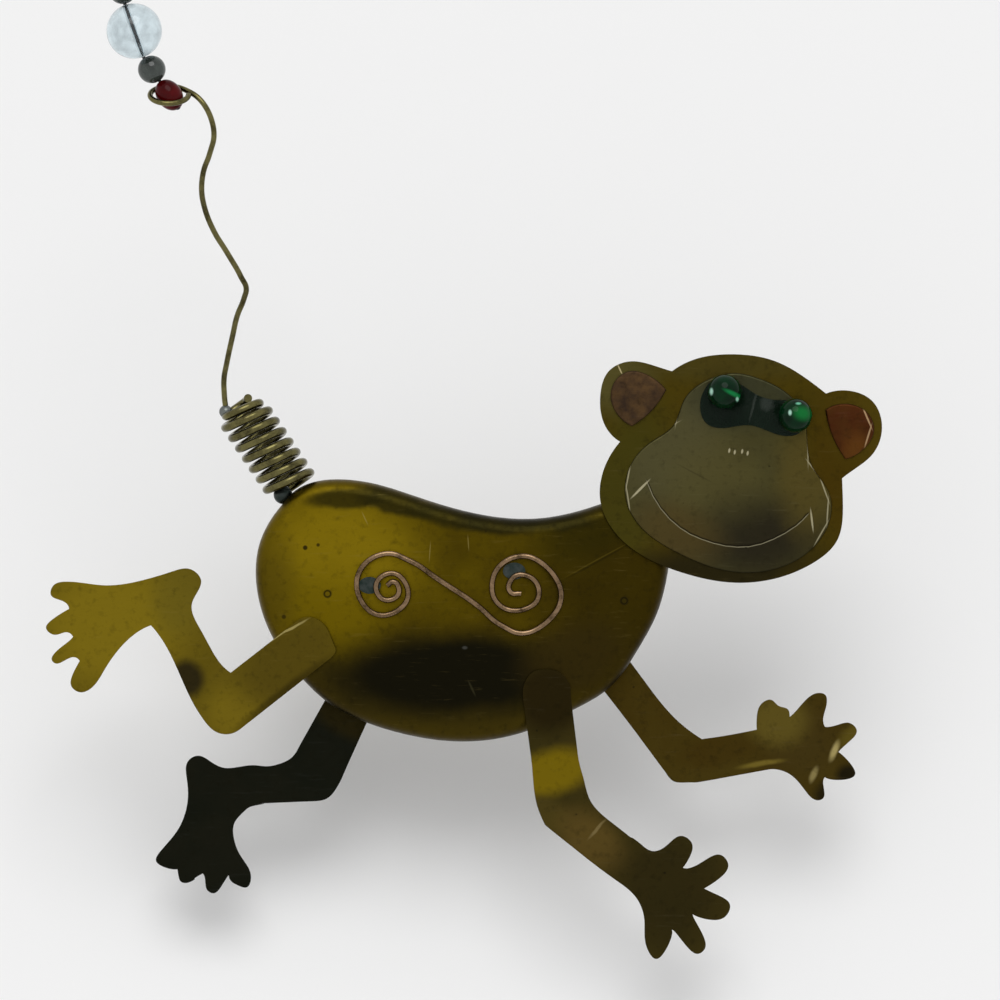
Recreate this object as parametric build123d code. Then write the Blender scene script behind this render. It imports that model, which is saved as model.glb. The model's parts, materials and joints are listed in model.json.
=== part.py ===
from build123d import *
import math
import os

os.makedirs("parts", exist_ok=True)

# A running monkey cut from sheet brass, hung by a wire tail from a short string of beads.
# It is drawn level first: X runs from the rump to the head, Y from the viewer to the back and
# Z up, in millimetres, from the lower left corner of the body's box. Then it is turned about
# the bead that carries it until its weight hangs straight below, and moved so that the
# origin is the middle of the hanging loop.

# Sheet and wire, as they come from stock
body_sheet = 0.4
plate_sheet = 0.5
face_sheet = 0.5
ear_sheet = 0.7
tail_wire_diameter = 0.8
coil_wire_diameter = 1.2
scroll_wire_diameter = 0.8
string_wire_diameter = 0.5

# Specific gravity of what the pieces are made of, for the weight that sets the hang
brass_gravity = 8.5
nickel_silver_gravity = 7.85
glass_gravity = 2.5
glue_gravity = 1.1

# Gaps between pieces, and the overrun of every cut
touch_gap = 0.05
running_gap = 0.05
overrun = 1.0

# How curves are drawn: the turn that counts as a corner, and points or arcs to a run or a turn
corner_angle = 45.0
straight_angle = 0.01
tiny_spread = 1e-6
groove_steps = 6
coil_steps_per_turn = 4
coil_scan_steps = 60
eye_loop_steps = 8
hang_loop_steps = 6

# Body: two pressed half shells that meet on the middle plane
body_length = 59.5
body_height = 37.5
body_depth = 9.0
crown_rise = 1.7
rim_radius = 2.3
rim_depth_share = 0.3
body_outline_shares = [
    (0.075, 0.926), (0.120, 0.979), (0.204, 1.000), (0.276, 0.987), (0.397, 0.929),
    (0.541, 0.866), (0.685, 0.851), (0.827, 0.903), (0.887, 0.929), (0.950, 0.914),
    (0.990, 0.845), (1.000, 0.739), (0.990, 0.616), (0.969, 0.494), (0.921, 0.349),
    (0.853, 0.204), (0.767, 0.120), (0.654, 0.038), (0.538, 0.000), (0.447, 0.002),
    (0.351, 0.029), (0.269, 0.069), (0.171, 0.151), (0.113, 0.237), (0.041, 0.395),
    (0.010, 0.523), (0.000, 0.639), (0.010, 0.758), (0.036, 0.845),
]

# Punched ring marks, on the body and as nostrils
ring_mark_diameter = 1.0
ring_mark_line = 0.18
mark_depth = 0.12
body_mark_shares = [(0.174, 0.563), (0.888, 0.536)]

# Head plate, and the plates soldered on it
head_width = 40.5
head_height = 32.7
head_corner_shares = (0.827, 0.605)
head_seat_shares = (0.834, 0.872)
head_outline_shares = [
    [(0.074, 0.617), (0.018, 0.696), (0.005, 0.827), (0.032, 0.923), (0.110, 0.969), (0.180, 0.956)],
    [(0.258, 0.926), (0.357, 0.985), (0.459, 1.000), (0.622, 0.970), (0.739, 0.888)],
    [(0.802, 0.828), (0.887, 0.840), (0.965, 0.796), (1.000, 0.683), (0.965, 0.560), (0.905, 0.499)],
    [(0.859, 0.457), (0.862, 0.328), (0.841, 0.184), (0.749, 0.081), (0.622, 0.018), (0.481, 0.000),
     (0.307, 0.039), (0.163, 0.112), (0.057, 0.219), (0.004, 0.363), (0.011, 0.473), (0.035, 0.547)],
]
face_width = 29.5
face_height = 28.5
face_corner_shares = (0.092, 0.0455)
face_outline_shares = [
    (0.534, 1.000), (0.398, 0.966), (0.286, 0.867), (0.236, 0.742), (0.121, 0.652), (0.022, 0.529),
    (0.000, 0.384), (0.063, 0.241), (0.267, 0.091), (0.490, 0.008), (0.709, 0.012), (0.896, 0.108),
    (0.994, 0.264), (0.990, 0.399), (0.908, 0.534), (0.885, 0.645), (0.869, 0.785), (0.762, 0.918),
    (0.646, 0.975),
]
left_ear_width = 7.9
left_ear_height = 7.9
left_ear_corner_shares = (0.042, 0.685)
left_ear_outline_shares = [
    [(1.000, 0.658), (0.631, 0.946), (0.306, 0.991), (0.063, 0.802), (0.000, 0.477), (0.133, 0.189)],
    [(0.378, 0.000), (0.703, 0.243)],
]
right_ear_width = 7.0
right_ear_height = 7.9
right_ear_corner_shares = (0.799, 0.541)
right_ear_outline_shares = [
    [(0.000, 0.891), (0.469, 1.000), (0.857, 0.845), (1.000, 0.536), (0.837, 0.227)],
    [(0.408, 0.000), (0.184, 0.336)],
]
plate_edge_radius = 0.3

# Smile and nostrils, cut in the face plate
smile_line = 0.35
smile_shares = [
    (0.106, 0.459), (0.172, 0.326), (0.267, 0.228), (0.369, 0.172), (0.485, 0.138), (0.602, 0.134),
    (0.721, 0.172), (0.830, 0.238), (0.888, 0.297),
]
smile_tick_shares = [[(0.103, 0.441), (0.044, 0.387)], [(0.902, 0.324), (0.912, 0.218)]]
nostril_shares = [(0.519, 0.609), (0.581, 0.604)]

# Eyes: glass beads on their sides in a smear of clear glue
eye_diameter = 4.9
eye_bore = 1.4
eye_tilt = 18.0
eye_shares = [(0.481, 0.907), (0.823, 0.787)]
glue_thickness = 0.3
glue_outline_shares = [
    (0.379, 0.905), (0.364, 0.825), (0.393, 0.749), (0.471, 0.724), (0.597, 0.739), (0.694, 0.709),
    (0.782, 0.684), (0.850, 0.704), (0.864, 0.775), (0.820, 0.855), (0.743, 0.865), (0.641, 0.890),
    (0.558, 0.945), (0.471, 0.970), (0.403, 0.945),
]

# Legs: each is one plate, held at the point where it is soldered
near_hind_length = 41.2
near_hind_height = 23.7
near_hind_root_shares = (0.882, 0.509)
near_hind_body_shares = (0.108, 0.349)
near_hind_seat_shares = (0.190, 0.387)
near_hind_outline_shares = [
    [(0.641, 0.371)],
    [(0.872, 0.684), (0.924, 0.705), (0.969, 0.654), (1.000, 0.539)],
    [(0.983, 0.452)],
    [(0.675, 0.031), (0.618, 0.000), (0.579, 0.026), (0.557, 0.064)],
    [(0.535, 0.117), (0.469, 0.341), (0.408, 0.557)],
    [(0.364, 0.657), (0.290, 0.579), (0.201, 0.383), (0.155, 0.275), (0.118, 0.253), (0.087, 0.293),
     (0.090, 0.350)],
    [(0.117, 0.443), (0.097, 0.465), (0.057, 0.437), (0.033, 0.427), (0.021, 0.443), (0.041, 0.509),
     (0.073, 0.553)],
    [(0.094, 0.588), (0.068, 0.615), (0.028, 0.600), (0.000, 0.642), (0.017, 0.686)],
    [(0.080, 0.756), (0.057, 0.804), (0.017, 0.840), (0.024, 0.895), (0.069, 0.921), (0.201, 0.899),
     (0.364, 0.943), (0.441, 0.984), (0.500, 0.997), (0.538, 0.931), (0.507, 0.792), (0.536, 0.633),
     (0.567, 0.533), (0.601, 0.437)],
]
far_hind_length = 33.0
far_hind_height = 33.7
far_hind_root_shares = (0.892, 0.873)
far_hind_body_shares = (0.252, 0.197)
far_hind_seat_shares = (0.276, 0.307)
far_hind_outline_shares = [
    [(0.796, 0.928)],
    [(0.631, 0.639), (0.592, 0.580), (0.523, 0.548)],
    [(0.445, 0.545), (0.371, 0.541), (0.293, 0.536), (0.241, 0.560), (0.180, 0.587), (0.139, 0.563),
     (0.134, 0.490), (0.139, 0.406), (0.100, 0.279), (0.024, 0.185), (0.000, 0.139), (0.037, 0.111)],
    [(0.093, 0.103)],
    [(0.098, 0.075), (0.106, 0.052), (0.134, 0.044), (0.169, 0.060)],
    [(0.204, 0.085), (0.215, 0.050), (0.223, 0.014), (0.249, 0.000), (0.284, 0.028)],
    [(0.317, 0.077), (0.354, 0.035), (0.397, 0.026), (0.414, 0.067), (0.373, 0.153), (0.338, 0.241),
     (0.342, 0.300), (0.364, 0.330), (0.390, 0.355), (0.425, 0.373), (0.468, 0.383)],
    [(0.520, 0.386)],
    [(0.692, 0.393), (0.748, 0.406), (0.792, 0.457)],
    [(0.848, 0.576)],
    [(0.978, 0.856), (0.996, 0.928), (0.935, 0.996), (0.848, 0.994)],
]
near_fore_length = 29.6
near_fore_height = 41.4
near_fore_root_shares = (0.116, 0.912)
near_fore_body_shares = (0.702, 0.177)
near_fore_seat_shares = (0.668, 0.260)
near_fore_outline_shares = [
    [(0.001, 0.895), (0.010, 0.957), (0.052, 0.993), (0.111, 1.000), (0.188, 0.984), (0.227, 0.943)],
    [(0.234, 0.888)],
    [(0.265, 0.705), (0.294, 0.619), (0.323, 0.550), (0.420, 0.476)],
    [(0.516, 0.422), (0.569, 0.397), (0.622, 0.373), (0.685, 0.387), (0.767, 0.425), (0.815, 0.401),
     (0.803, 0.349)],
    [(0.772, 0.315), (0.868, 0.336), (0.960, 0.358), (0.991, 0.329), (0.941, 0.274)],
    [(0.875, 0.244), (0.950, 0.218), (1.000, 0.187), (0.978, 0.147), (0.897, 0.136)],
    [(0.820, 0.154), (0.875, 0.073), (0.878, 0.035), (0.849, 0.018), (0.796, 0.039)],
    [(0.719, 0.101), (0.690, 0.032), (0.642, 0.000), (0.598, 0.039), (0.586, 0.135), (0.550, 0.208),
     (0.439, 0.277), (0.199, 0.409)],
    [(0.106, 0.463), (0.068, 0.529)],
    [(0.039, 0.693)],
]
far_fore_length = 40.3
far_fore_height = 23.8
far_fore_root_shares = (0.099, 0.826)
far_fore_body_shares = (0.841, 0.292)
far_fore_seat_shares = (0.776, 0.385)
far_fore_outline_shares = [
    [(0.011, 0.844), (0.089, 0.681), (0.188, 0.465)],
    [(0.320, 0.164), (0.331, 0.138), (0.346, 0.117), (0.368, 0.109), (0.401, 0.110)],
    [(0.508, 0.133)],
    [(0.685, 0.188), (0.753, 0.167), (0.813, 0.067), (0.863, 0.002), (0.880, 0.014), (0.884, 0.056),
     (0.880, 0.116)],
    [(0.886, 0.142), (0.944, 0.125), (0.994, 0.158), (0.976, 0.227)],
    [(0.935, 0.293), (0.980, 0.367), (1.000, 0.424), (0.977, 0.468), (0.937, 0.461)],
    [(0.886, 0.447), (0.880, 0.483), (0.892, 0.579), (0.886, 0.642), (0.864, 0.651), (0.820, 0.612)],
    [(0.760, 0.506), (0.745, 0.561), (0.721, 0.573), (0.696, 0.609), (0.660, 0.586), (0.644, 0.519)],
    [(0.643, 0.429), (0.579, 0.407)],
    [(0.447, 0.372), (0.366, 0.474)],
    [(0.263, 0.675)],
    [(0.142, 0.952), (0.085, 1.000), (0.018, 0.958)],
]

# Solder between the plates and the body's crown
pad_radius = 2.5
neck_pad_shares = (0.930, 0.807)

# Scroll on the flank: one wire wound into two spirals
scroll_length = 29.2
scroll_height = 11.4
scroll_corner_shares = (0.245, 0.413)
scroll_route_shares = [
    (0.147, 0.597), (0.176, 0.645), (0.206, 0.553), (0.152, 0.414), (0.093, 0.559), (0.152, 0.748),
    (0.248, 0.559), (0.152, 0.232), (0.000, 0.559), (0.152, 1.000), (0.260, 0.906), (0.407, 0.660),
    (0.578, 0.370), (0.711, 0.093), (0.797, 0.000), (0.926, 0.131), (1.000, 0.458), (0.941, 0.798),
    (0.801, 0.966), (0.669, 0.710), (0.696, 0.358), (0.799, 0.288), (0.891, 0.471), (0.848, 0.704),
    (0.765, 0.698), (0.755, 0.509), (0.804, 0.496),
]
scroll_solder_length = 3.2
scroll_solder_width = 2.4
scroll_solder_shares = [(0.062, 0.600), (0.770, 0.780)]

# Coil at the rump: a left-handed spring, small at its upper end
coil_diameter = 6.6
coil_top_diameter = 3.6
coil_growth_turns = 1.5
coil_pitch = 1.78
coil_top_pitch = 1.42
coil_turns = 8.25
coil_lean = 56.2
coil_skew = 4.6
coil_stand = 1.06
coil_foot_shares = (0.097, 0.950)
rump_shares = (0.0655, 0.9413)
coil_solder_diameter = 2.7

# Tail wire, from the coil to the eye
tail_turn = 0.5
tail_width = 6.4
tail_height = 45.8
tail_foot_share = 0.540
tail_route_shares = [
    (0.509, 0.049), (0.498, 0.099), (0.574, 0.161), (0.686, 0.233), (0.798, 0.301), (0.945, 0.353),
    (0.999, 0.384), (0.872, 0.425), (0.574, 0.497), (0.275, 0.565), (0.089, 0.627), (0.000, 0.689),
    (0.038, 0.751), (0.179, 0.808), (0.275, 0.865), (0.201, 0.922), (0.016, 0.969),
]
tail_solder_diameter = 1.9

# Eye of the tail: an oval ring round the red bead, its near side low
eye_loop_width = 5.5
eye_loop_depth = 5.0
eye_loop_tilt = 31.0
eye_loop_start = 50.0
pivot_shares = (-0.726, 0.992)

# Beads and the wire that strings them
red_bead_diameter = 3.7
red_bead_height = 4.8
dark_bead_diameter = 4.0
clear_bead_diameter = 8.0
bead_bore = 0.7
end_knot_diameter = 1.0
knot_seat_depth = 0.8
clear_bead_lean = 15.0
upper_bead_lean = 25.0
string_bend_radius = 3.0
string_rise = 7.0
hang_loop_diameter = 6.6
hang_loop_start = -60.0
hang_loop_sweep = 315.0


# Sides of the middle plane: the viewer's and the far one
near = -1
far = 1


def at(shares, width, height, corner=(0, 0)):
    """The level point at the given shares of a box, as X and Z."""
    return corner[0] + shares[0] * width, corner[1] + shares[1] * height


def on_body(shares):
    return at(shares, body_length, body_height)


def level(x, z, y=0):
    return Vector(x, y, z)


def chord_tangent(before, here, after):
    """Direction at a point of the circle through it and its neighbours."""
    first, second = here - before, after - here
    return (first.normalized() * second.length + second.normalized() * first.length).normalized()


def smooth_run(points):
    """A smooth edge through the points, or a straight one if there are two."""
    if len(points) == 2:
        return Line(*points)
    return Spline(*points)


def smooth_between(points, before, after):
    """A smooth edge that leaves its straight neighbours along them, where they nearly line up."""
    free = smooth_run(points)
    if len(points) == 2:
        return free
    start, end = free % 0, free % 1
    if before and before.get_angle(points[1] - points[0]) < corner_angle:
        start = before
    if after and after.get_angle(points[-1] - points[-2]) < corner_angle:
        end = after
    if (start - free % 0).length + (end - free % 1).length == 0:
        return free
    return Spline(*points, tangents=[start, end])


def closed_outline(stretches, place):
    """A closed outline of smooth stretches that meet at corners. Each ends where the next starts."""
    runs = []
    for n, stretch in enumerate(stretches):
        nodes = stretch + [stretches[(n + 1) % len(stretches)][0]]
        runs.append([level(*place(shares)) for shares in nodes])
    edges = []
    for n, points in enumerate(runs):
        before, after = runs[n - 1], runs[(n + 1) % len(runs)]
        along_before = before[1] - before[0] if len(before) == 2 else None
        along_after = after[1] - after[0] if len(after) == 2 else None
        edges.append(smooth_between(points, along_before, along_after))
    return make_face(edges)


def round_outline(outline_shares, place):
    """A closed outline without corners."""
    return make_face(Spline(*[level(*place(shares)) for shares in outline_shares], periodic=True))


def plate(face, back, thickness, side=near):
    """A flat plate with its back at the depth given, growing away from the middle plane."""
    return extrude(Pos(0, back, 0) * face, amount=thickness, dir=(0, side, 0))


def disc(centre, diameter, start, end):
    """A round bar along Y from one depth to another."""
    bar = Cylinder(diameter / 2, abs(end - start), rotation=(90, 0, 0))
    return Pos(centre[0], (start + end) / 2, centre[1]) * bar


def ring_cut(centre, start, end):
    inner = ring_mark_diameter - 2 * ring_mark_line
    return disc(centre, ring_mark_diameter, start, end) - disc(centre, inner, start, end)


def biarc(start, leaving, end, arriving):
    """Two tangent arcs from one point and direction to another, or a straight edge."""
    chord = end - start
    if max(chord.get_angle(leaving), chord.get_angle(arriving)) < straight_angle:
        return [Line(start, end)]
    both = leaving + arriving
    spread = 2 * (1 - leaving.dot(arriving))
    along = chord.dot(both)
    if spread < tiny_spread:
        reach = chord.dot(chord) / (2 * along)
    else:
        reach = (math.sqrt(along**2 + spread * chord.dot(chord)) - along) / spread
    middle = (start + leaving * reach + end - arriving * reach) * 0.5
    turn = (middle - start).normalized() * (2 * (middle - start).normalized().dot(leaving)) - leaving
    return [TangentArc(start, middle, tangent=leaving), TangentArc(middle, end, tangent=turn)]


def arc_path(points, tangents=None):
    """A path of tangent arcs through the points."""
    if tangents is None:
        ends = [points[0] * 2 - points[1], points[-1] * 2 - points[-2]]
        rows = [ends[0]] + points + [ends[1]]
        tangents = [chord_tangent(*rows[n : n + 3]) for n in range(len(points))]
    edges = []
    for n in range(len(points) - 1):
        edges += biarc(points[n], tangents[n], points[n + 1], tangents[n + 1])
    return edges


def round_wire(edges, diameter):
    """A round wire swept along a path of edges."""
    path = Wire(edges)
    section = Plane(origin=path @ 0, z_dir=path % 0) * Circle(diameter / 2)
    solid = sweep(section, path=path)
    print("  wire volume over section times length", solid.volume / (section.area * path.length))
    return solid


# Body shells

body_middle = on_body((0.5, 0.5))
half_depth = body_depth / 2
crown_radius = ((body_length / 2) ** 2 + crown_rise**2) / (2 * crown_rise)


def crown_height(point):
    """Height of the crown over the middle plane, at a level point."""
    reach = math.dist(point, body_middle)
    return half_depth - crown_radius + math.sqrt(crown_radius**2 - reach**2)


def inner_outline(inset):
    """The body's outline drawn in by an even distance."""
    outer = Spline(*[level(*on_body(shares)) for shares in body_outline_shares], periodic=True)
    steps = [n / (2 * len(body_outline_shares)) for n in range(2 * len(body_outline_shares))]
    towards_viewer = Vector(0, near, 0)
    points = [outer @ n + (outer % n).cross(towards_viewer) * inset for n in steps]
    return make_face(Spline(*points, periodic=True))


def pillow(inset, side):
    """One half of the body's outer form, or of the hollow one sheet inside it."""
    blank = extrude(inner_outline(inset), amount=half_depth, dir=(0, side, 0))
    crown_middle = side * (half_depth - crown_radius)
    form = blank & Pos(body_middle[0], crown_middle, body_middle[1]) * Sphere(crown_radius - inset)
    rim_depth = half_depth * rim_depth_share
    rim = form.edges().filter_by(lambda edge: min(abs(p.Y) for p in (edge @ 0, edge @ 0.5)) > rim_depth)
    return fillet(rim, rim_radius - inset)


near_form = pillow(0, near)
far_form = pillow(0, far)
near_shell = near_form - pillow(body_sheet, near)
far_shell = far_form - pillow(body_sheet, far)
for spot in body_mark_shares:
    surface = crown_height(on_body(spot))
    near_shell -= ring_cut(on_body(spot), near * (surface - mark_depth), near * (surface + overrun))


def seat(shares, side=near):
    """Depth of the back of a plate that touches the crown at a point of the body."""
    return side * (crown_height(on_body(shares)) + touch_gap)


# Head

head_corner = on_body(head_corner_shares)
head_back = seat(head_seat_shares)
head_front = head_back - plate_sheet
head_plate = plate(
    closed_outline(head_outline_shares, lambda s: at(s, head_width, head_height, head_corner)),
    head_back,
    plate_sheet,
)
neck_solder = disc(on_body(neck_pad_shares), 2 * pad_radius, head_back, 0) - near_form


def on_head(shares):
    return at(shares, head_width, head_height, head_corner)


def soft_plate(face, back, thickness):
    """A plate whose front edge is rounded over."""
    blank = plate(face, back, thickness)
    return fillet(blank.faces().sort_by(Axis.Y)[0].edges(), plate_edge_radius)


face_corner = on_head(face_corner_shares)
face_front = head_front - face_sheet


def on_face(shares):
    return at(shares, face_width, face_height, face_corner)


def make_face_plate():
    blank = soft_plate(round_outline(face_outline_shares, on_face), head_front, face_sheet)
    for run in [smile_shares] + smile_tick_shares:
        line = smooth_run([level(*on_face(shares)) for shares in run])
        groove = make_groove(line)
        blank -= groove
    for spot in nostril_shares:
        blank -= ring_cut(on_face(spot), face_front - overrun, face_front + mark_depth)
    return blank


def make_groove(line):
    """A cut of even width along a line, into the front of the face plate."""
    steps = [line @ (n / groove_steps) for n in range(groove_steps + 1)]
    sides = []
    for side in (1, -1):
        half = side * smile_line / 2
        row = []
        for n, point in enumerate(steps):
            along = line % (n / groove_steps)
            row.append(point + Vector(along.Z, 0, -along.X) * half)
        sides.append(row)
    edges = [smooth_run(sides[0]), Line(sides[0][-1], sides[1][-1]), smooth_run(sides[1])]
    edges.append(Line(sides[0][0], sides[1][0]))
    return extrude(
        Pos(0, face_front + mark_depth, 0) * make_face(edges), amount=mark_depth + overrun, dir=(0, -1, 0)
    )


face_plate = make_face_plate()
left_ear_corner = on_head(left_ear_corner_shares)
left_ear = soft_plate(
    closed_outline(
        left_ear_outline_shares, lambda s: at(s, left_ear_width, left_ear_height, left_ear_corner)
    ),
    head_front,
    ear_sheet,
)
right_ear_corner = on_head(right_ear_corner_shares)
right_ear = soft_plate(
    closed_outline(
        right_ear_outline_shares, lambda s: at(s, right_ear_width, right_ear_height, right_ear_corner)
    ),
    head_front,
    ear_sheet,
)


def eye_bead(shares):
    x, z = on_face(shares)
    hole = Cylinder(eye_bore / 2, eye_diameter + overrun, rotation=(0, 90, 0))
    bead = Sphere(eye_diameter / 2) - hole
    return Pos(x, face_front - touch_gap - eye_diameter / 2, z) * Rot(0, eye_tilt, 0) * bead


def eye_ball(shares):
    x, z = on_face(shares)
    return Pos(x, face_front - touch_gap - eye_diameter / 2, z) * Sphere(eye_diameter / 2)


left_eye = eye_bead(eye_shares[0])
right_eye = eye_bead(eye_shares[1])
eye_glue = plate(round_outline(glue_outline_shares, on_face), face_front, glue_thickness)
eye_glue = eye_glue - eye_ball(eye_shares[0]) - eye_ball(eye_shares[1])


# Legs

def leg(outline_shares, length, height, root_shares, body_shares, seat_shares, side, form):
    """A leg and its solder, with the leg's root at a point of the body."""
    root = on_body(body_shares)
    foot = at(root_shares, length, height)
    corner = (root[0] - foot[0], root[1] - foot[1])
    back = seat(seat_shares, side)
    face = closed_outline(outline_shares, lambda s: at(s, length, height, corner))
    pad = disc(root, 2 * pad_radius, back, 0) - form
    return plate(face, back, plate_sheet, side), pad.solid()


near_hind_leg, near_hind_pad = leg(
    near_hind_outline_shares, near_hind_length, near_hind_height, near_hind_root_shares,
    near_hind_body_shares, near_hind_seat_shares, near, near_form,
)
near_foreleg, near_fore_pad = leg(
    near_fore_outline_shares, near_fore_length, near_fore_height, near_fore_root_shares,
    near_fore_body_shares, near_fore_seat_shares, near, near_form,
)
far_hind_leg, far_hind_pad = leg(
    far_hind_outline_shares, far_hind_length, far_hind_height, far_hind_root_shares,
    far_hind_body_shares, far_hind_seat_shares, far, far_form,
)
far_foreleg, far_fore_pad = leg(
    far_fore_outline_shares, far_fore_length, far_fore_height, far_fore_root_shares,
    far_fore_body_shares, far_fore_seat_shares, far, far_form,
)
leg_solder = Compound([near_hind_pad, near_fore_pad, far_hind_pad, far_fore_pad])


# Scroll

scroll_corner = on_body(scroll_corner_shares)
scroll_depth = -half_depth - touch_gap - scroll_wire_diameter / 2
scroll_points = [
    level(*at(shares, scroll_length, scroll_height, scroll_corner), scroll_depth)
    for shares in scroll_route_shares
]
flank_scroll = round_wire(arc_path(scroll_points), scroll_wire_diameter)


def scroll_pool(shares):
    """A flat pool of solder that holds a spiral to the flank."""
    x, z = at(shares, scroll_length, scroll_height, scroll_corner)
    dome = scale(Sphere(scroll_solder_width / 2), by=(scroll_solder_length / scroll_solder_width, 1, 1))
    flat = Box(2 * scroll_solder_length, -scroll_depth, 2 * scroll_solder_length)
    pool = dome & Pos(0, -scroll_depth / 2, 0) * flat
    pool = Pos(x, scroll_depth, z) * pool - near_form - flank_scroll
    return pool.solids().sort_by(SortBy.VOLUME)[-1]


scroll_solder = Compound([scroll_pool(spot) for spot in scroll_solder_shares])


# Coil

lean = math.radians(coil_lean)
coil_axis = Vector(math.cos(lean), 0, -math.sin(lean))
skewed = math.radians(coil_lean + coil_skew)
coil_side = Vector(math.sin(skewed), 0, math.cos(skewed))
to_viewer = Vector(0, -1, 0)
coil_foot = level(*on_body(coil_foot_shares))
coil_last = coil_foot - coil_axis * coil_stand


def coil_radius(turns):
    """Radius of the winding, which grows over its first turns."""
    grown = min(turns / coil_growth_turns, 1)
    return (coil_top_diameter + (coil_diameter - coil_top_diameter) * grown) / 2


def pitch_at(turns):
    """Pitch of the winding, closer over its first turns."""
    return coil_pitch if turns >= coil_growth_turns else coil_top_pitch


def along_coil(turns):
    """Place along the coil's axis, from its last turn."""
    tightened = (coil_pitch - coil_top_pitch) * max(coil_growth_turns - turns, 0)
    return coil_pitch * (turns - coil_turns) + tightened


def coil_point(turns):
    angle = 2 * math.pi * turns
    reach = coil_side * math.cos(angle) - to_viewer * math.sin(angle)
    return coil_last + coil_axis * along_coil(turns) + reach * coil_radius(turns)


def coil_tangent(turns):
    angle = 2 * math.pi * turns
    around = to_viewer * -math.cos(angle) - coil_side * math.sin(angle)
    return (coil_axis * pitch_at(turns) + around * (2 * math.pi * coil_radius(turns))).normalized()


def least_coil_gap():
    """Least gap of the coil to itself, measured on points of its middle line."""
    line = [coil_point(n / coil_scan_steps) for n in range(int(coil_turns * coil_scan_steps) + 1)]
    apart = coil_scan_steps // 2
    pairs = [(a, b) for n, a in enumerate(line) for b in line[n + apart :]]
    return min((a - b).length for a, b in pairs) - coil_wire_diameter


turn_steps = [n / coil_steps_per_turn for n in range(int(coil_turns * coil_steps_per_turn) + 1)]
coil_points = [coil_point(turns) for turns in turn_steps]
coil_tangents = [coil_tangent(turns) for turns in turn_steps]
print("least gap of the coil to itself", round(least_coil_gap(), 3))

# The coil's lower end turns to lie across the rump's rim, its upper end is cut off plain
coil_end = level(*on_body(rump_shares))
rump_meet = coil_end - to_viewer * coil_wire_diameter
coil_path = (
    arc_path(coil_points, coil_tangents)
    + biarc(coil_points[-1], coil_tangents[-1], rump_meet, to_viewer)
    + [Line(rump_meet, coil_end)]
)
tail_coil = round_wire(coil_path, coil_wire_diameter)
coil_solder = Pos(*coil_end) * Sphere(coil_solder_diameter / 2) - near_form - far_form - tail_coil
coil_solder = coil_solder.solids().sort_by(SortBy.VOLUME)[-1]


# Tail and its eye

upright = Vector(0, 0, 1)
tail_foot = coil_point(tail_turn) + upright * (coil_wire_diameter / 2 + touch_gap)
tail_origin = (tail_foot.X - tail_foot_share * tail_width, tail_foot.Z)
tail_points = [level(*at(shares, tail_width, tail_height, tail_origin)) for shares in tail_route_shares]
tail_points = [tail_foot] + tail_points
pivot = level(*at(pivot_shares, tail_width, tail_height, tail_origin))
loop_tilt = math.radians(eye_loop_tilt)
loop_far = Vector(0, math.cos(loop_tilt), math.sin(loop_tilt))
loop_right = Vector(1, 0, 0)


def loop_point(degrees):
    turn = math.radians(degrees)
    along = loop_right * (math.cos(turn) * eye_loop_width / 2)
    return pivot + along + loop_far * (math.sin(turn) * eye_loop_depth / 2)


def loop_tangent(degrees):
    turn = math.radians(degrees)
    along = loop_right * (-math.sin(turn) * eye_loop_width)
    return (along + loop_far * (math.cos(turn) * eye_loop_depth)).normalized()


eye_sweep = 360 - eye_loop_start
loop_angles = [eye_loop_start + eye_sweep * n / eye_loop_steps for n in range(eye_loop_steps + 1)]
loop_points = [loop_point(angle) for angle in loop_angles]
loop_tangents = [loop_tangent(angle) for angle in loop_angles]
rows = tail_points + [loop_points[0]]
tail_tangents = [upright] + [chord_tangent(*rows[n : n + 3]) for n in range(len(tail_points) - 1)]
tail_path = arc_path(tail_points + loop_points, tail_tangents + loop_tangents)
tail_wire = round_wire(tail_path, tail_wire_diameter)
tail_solder = Pos(*tail_foot) * Sphere(tail_solder_diameter / 2) - tail_wire - tail_coil


# Beads, drawn where they hang: the red bead's middle is at zero and the string runs up from it

knot_reach = math.sqrt((end_knot_diameter / 2) ** 2 - (bead_bore / 2) ** 2)
knot_height = -red_bead_height / 2 + knot_seat_depth - knot_reach - running_gap
dark_rise = (red_bead_height + dark_bead_diameter) / 2 + running_gap
first_bend = dark_rise + dark_bead_diameter / 2 + running_gap


def leaning(degrees):
    turn = math.radians(degrees)
    return Vector(math.sin(turn), 0, math.cos(turn))


clear_way = leaning(clear_bead_lean)
upper_way = leaning(upper_bead_lean)
bend_one = Vector(0, 0, first_bend)
clear_middle = bend_one + clear_way * (clear_bead_diameter / 2 + running_gap)
bend_two = clear_middle + clear_way * (clear_bead_diameter / 2 + running_gap)
upper_middle = bend_two + upper_way * (dark_bead_diameter / 2 + running_gap)
bend_three = upper_middle + upper_way * (dark_bead_diameter / 2 + string_bend_radius)
loop_radius = (hang_loop_diameter + string_wire_diameter) / 2
bend_four = Vector(0, 0, bend_three.Z + string_rise)
hang_middle = bend_four + Vector(0, 0, string_bend_radius + 2 * loop_radius)


def strung(bead, middle, way):
    """A bead on the string, bored along it."""
    bored = bead - Cylinder(bead_bore / 2, 2 * clear_bead_diameter)
    return Plane(origin=middle, z_dir=way) * bored


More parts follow.
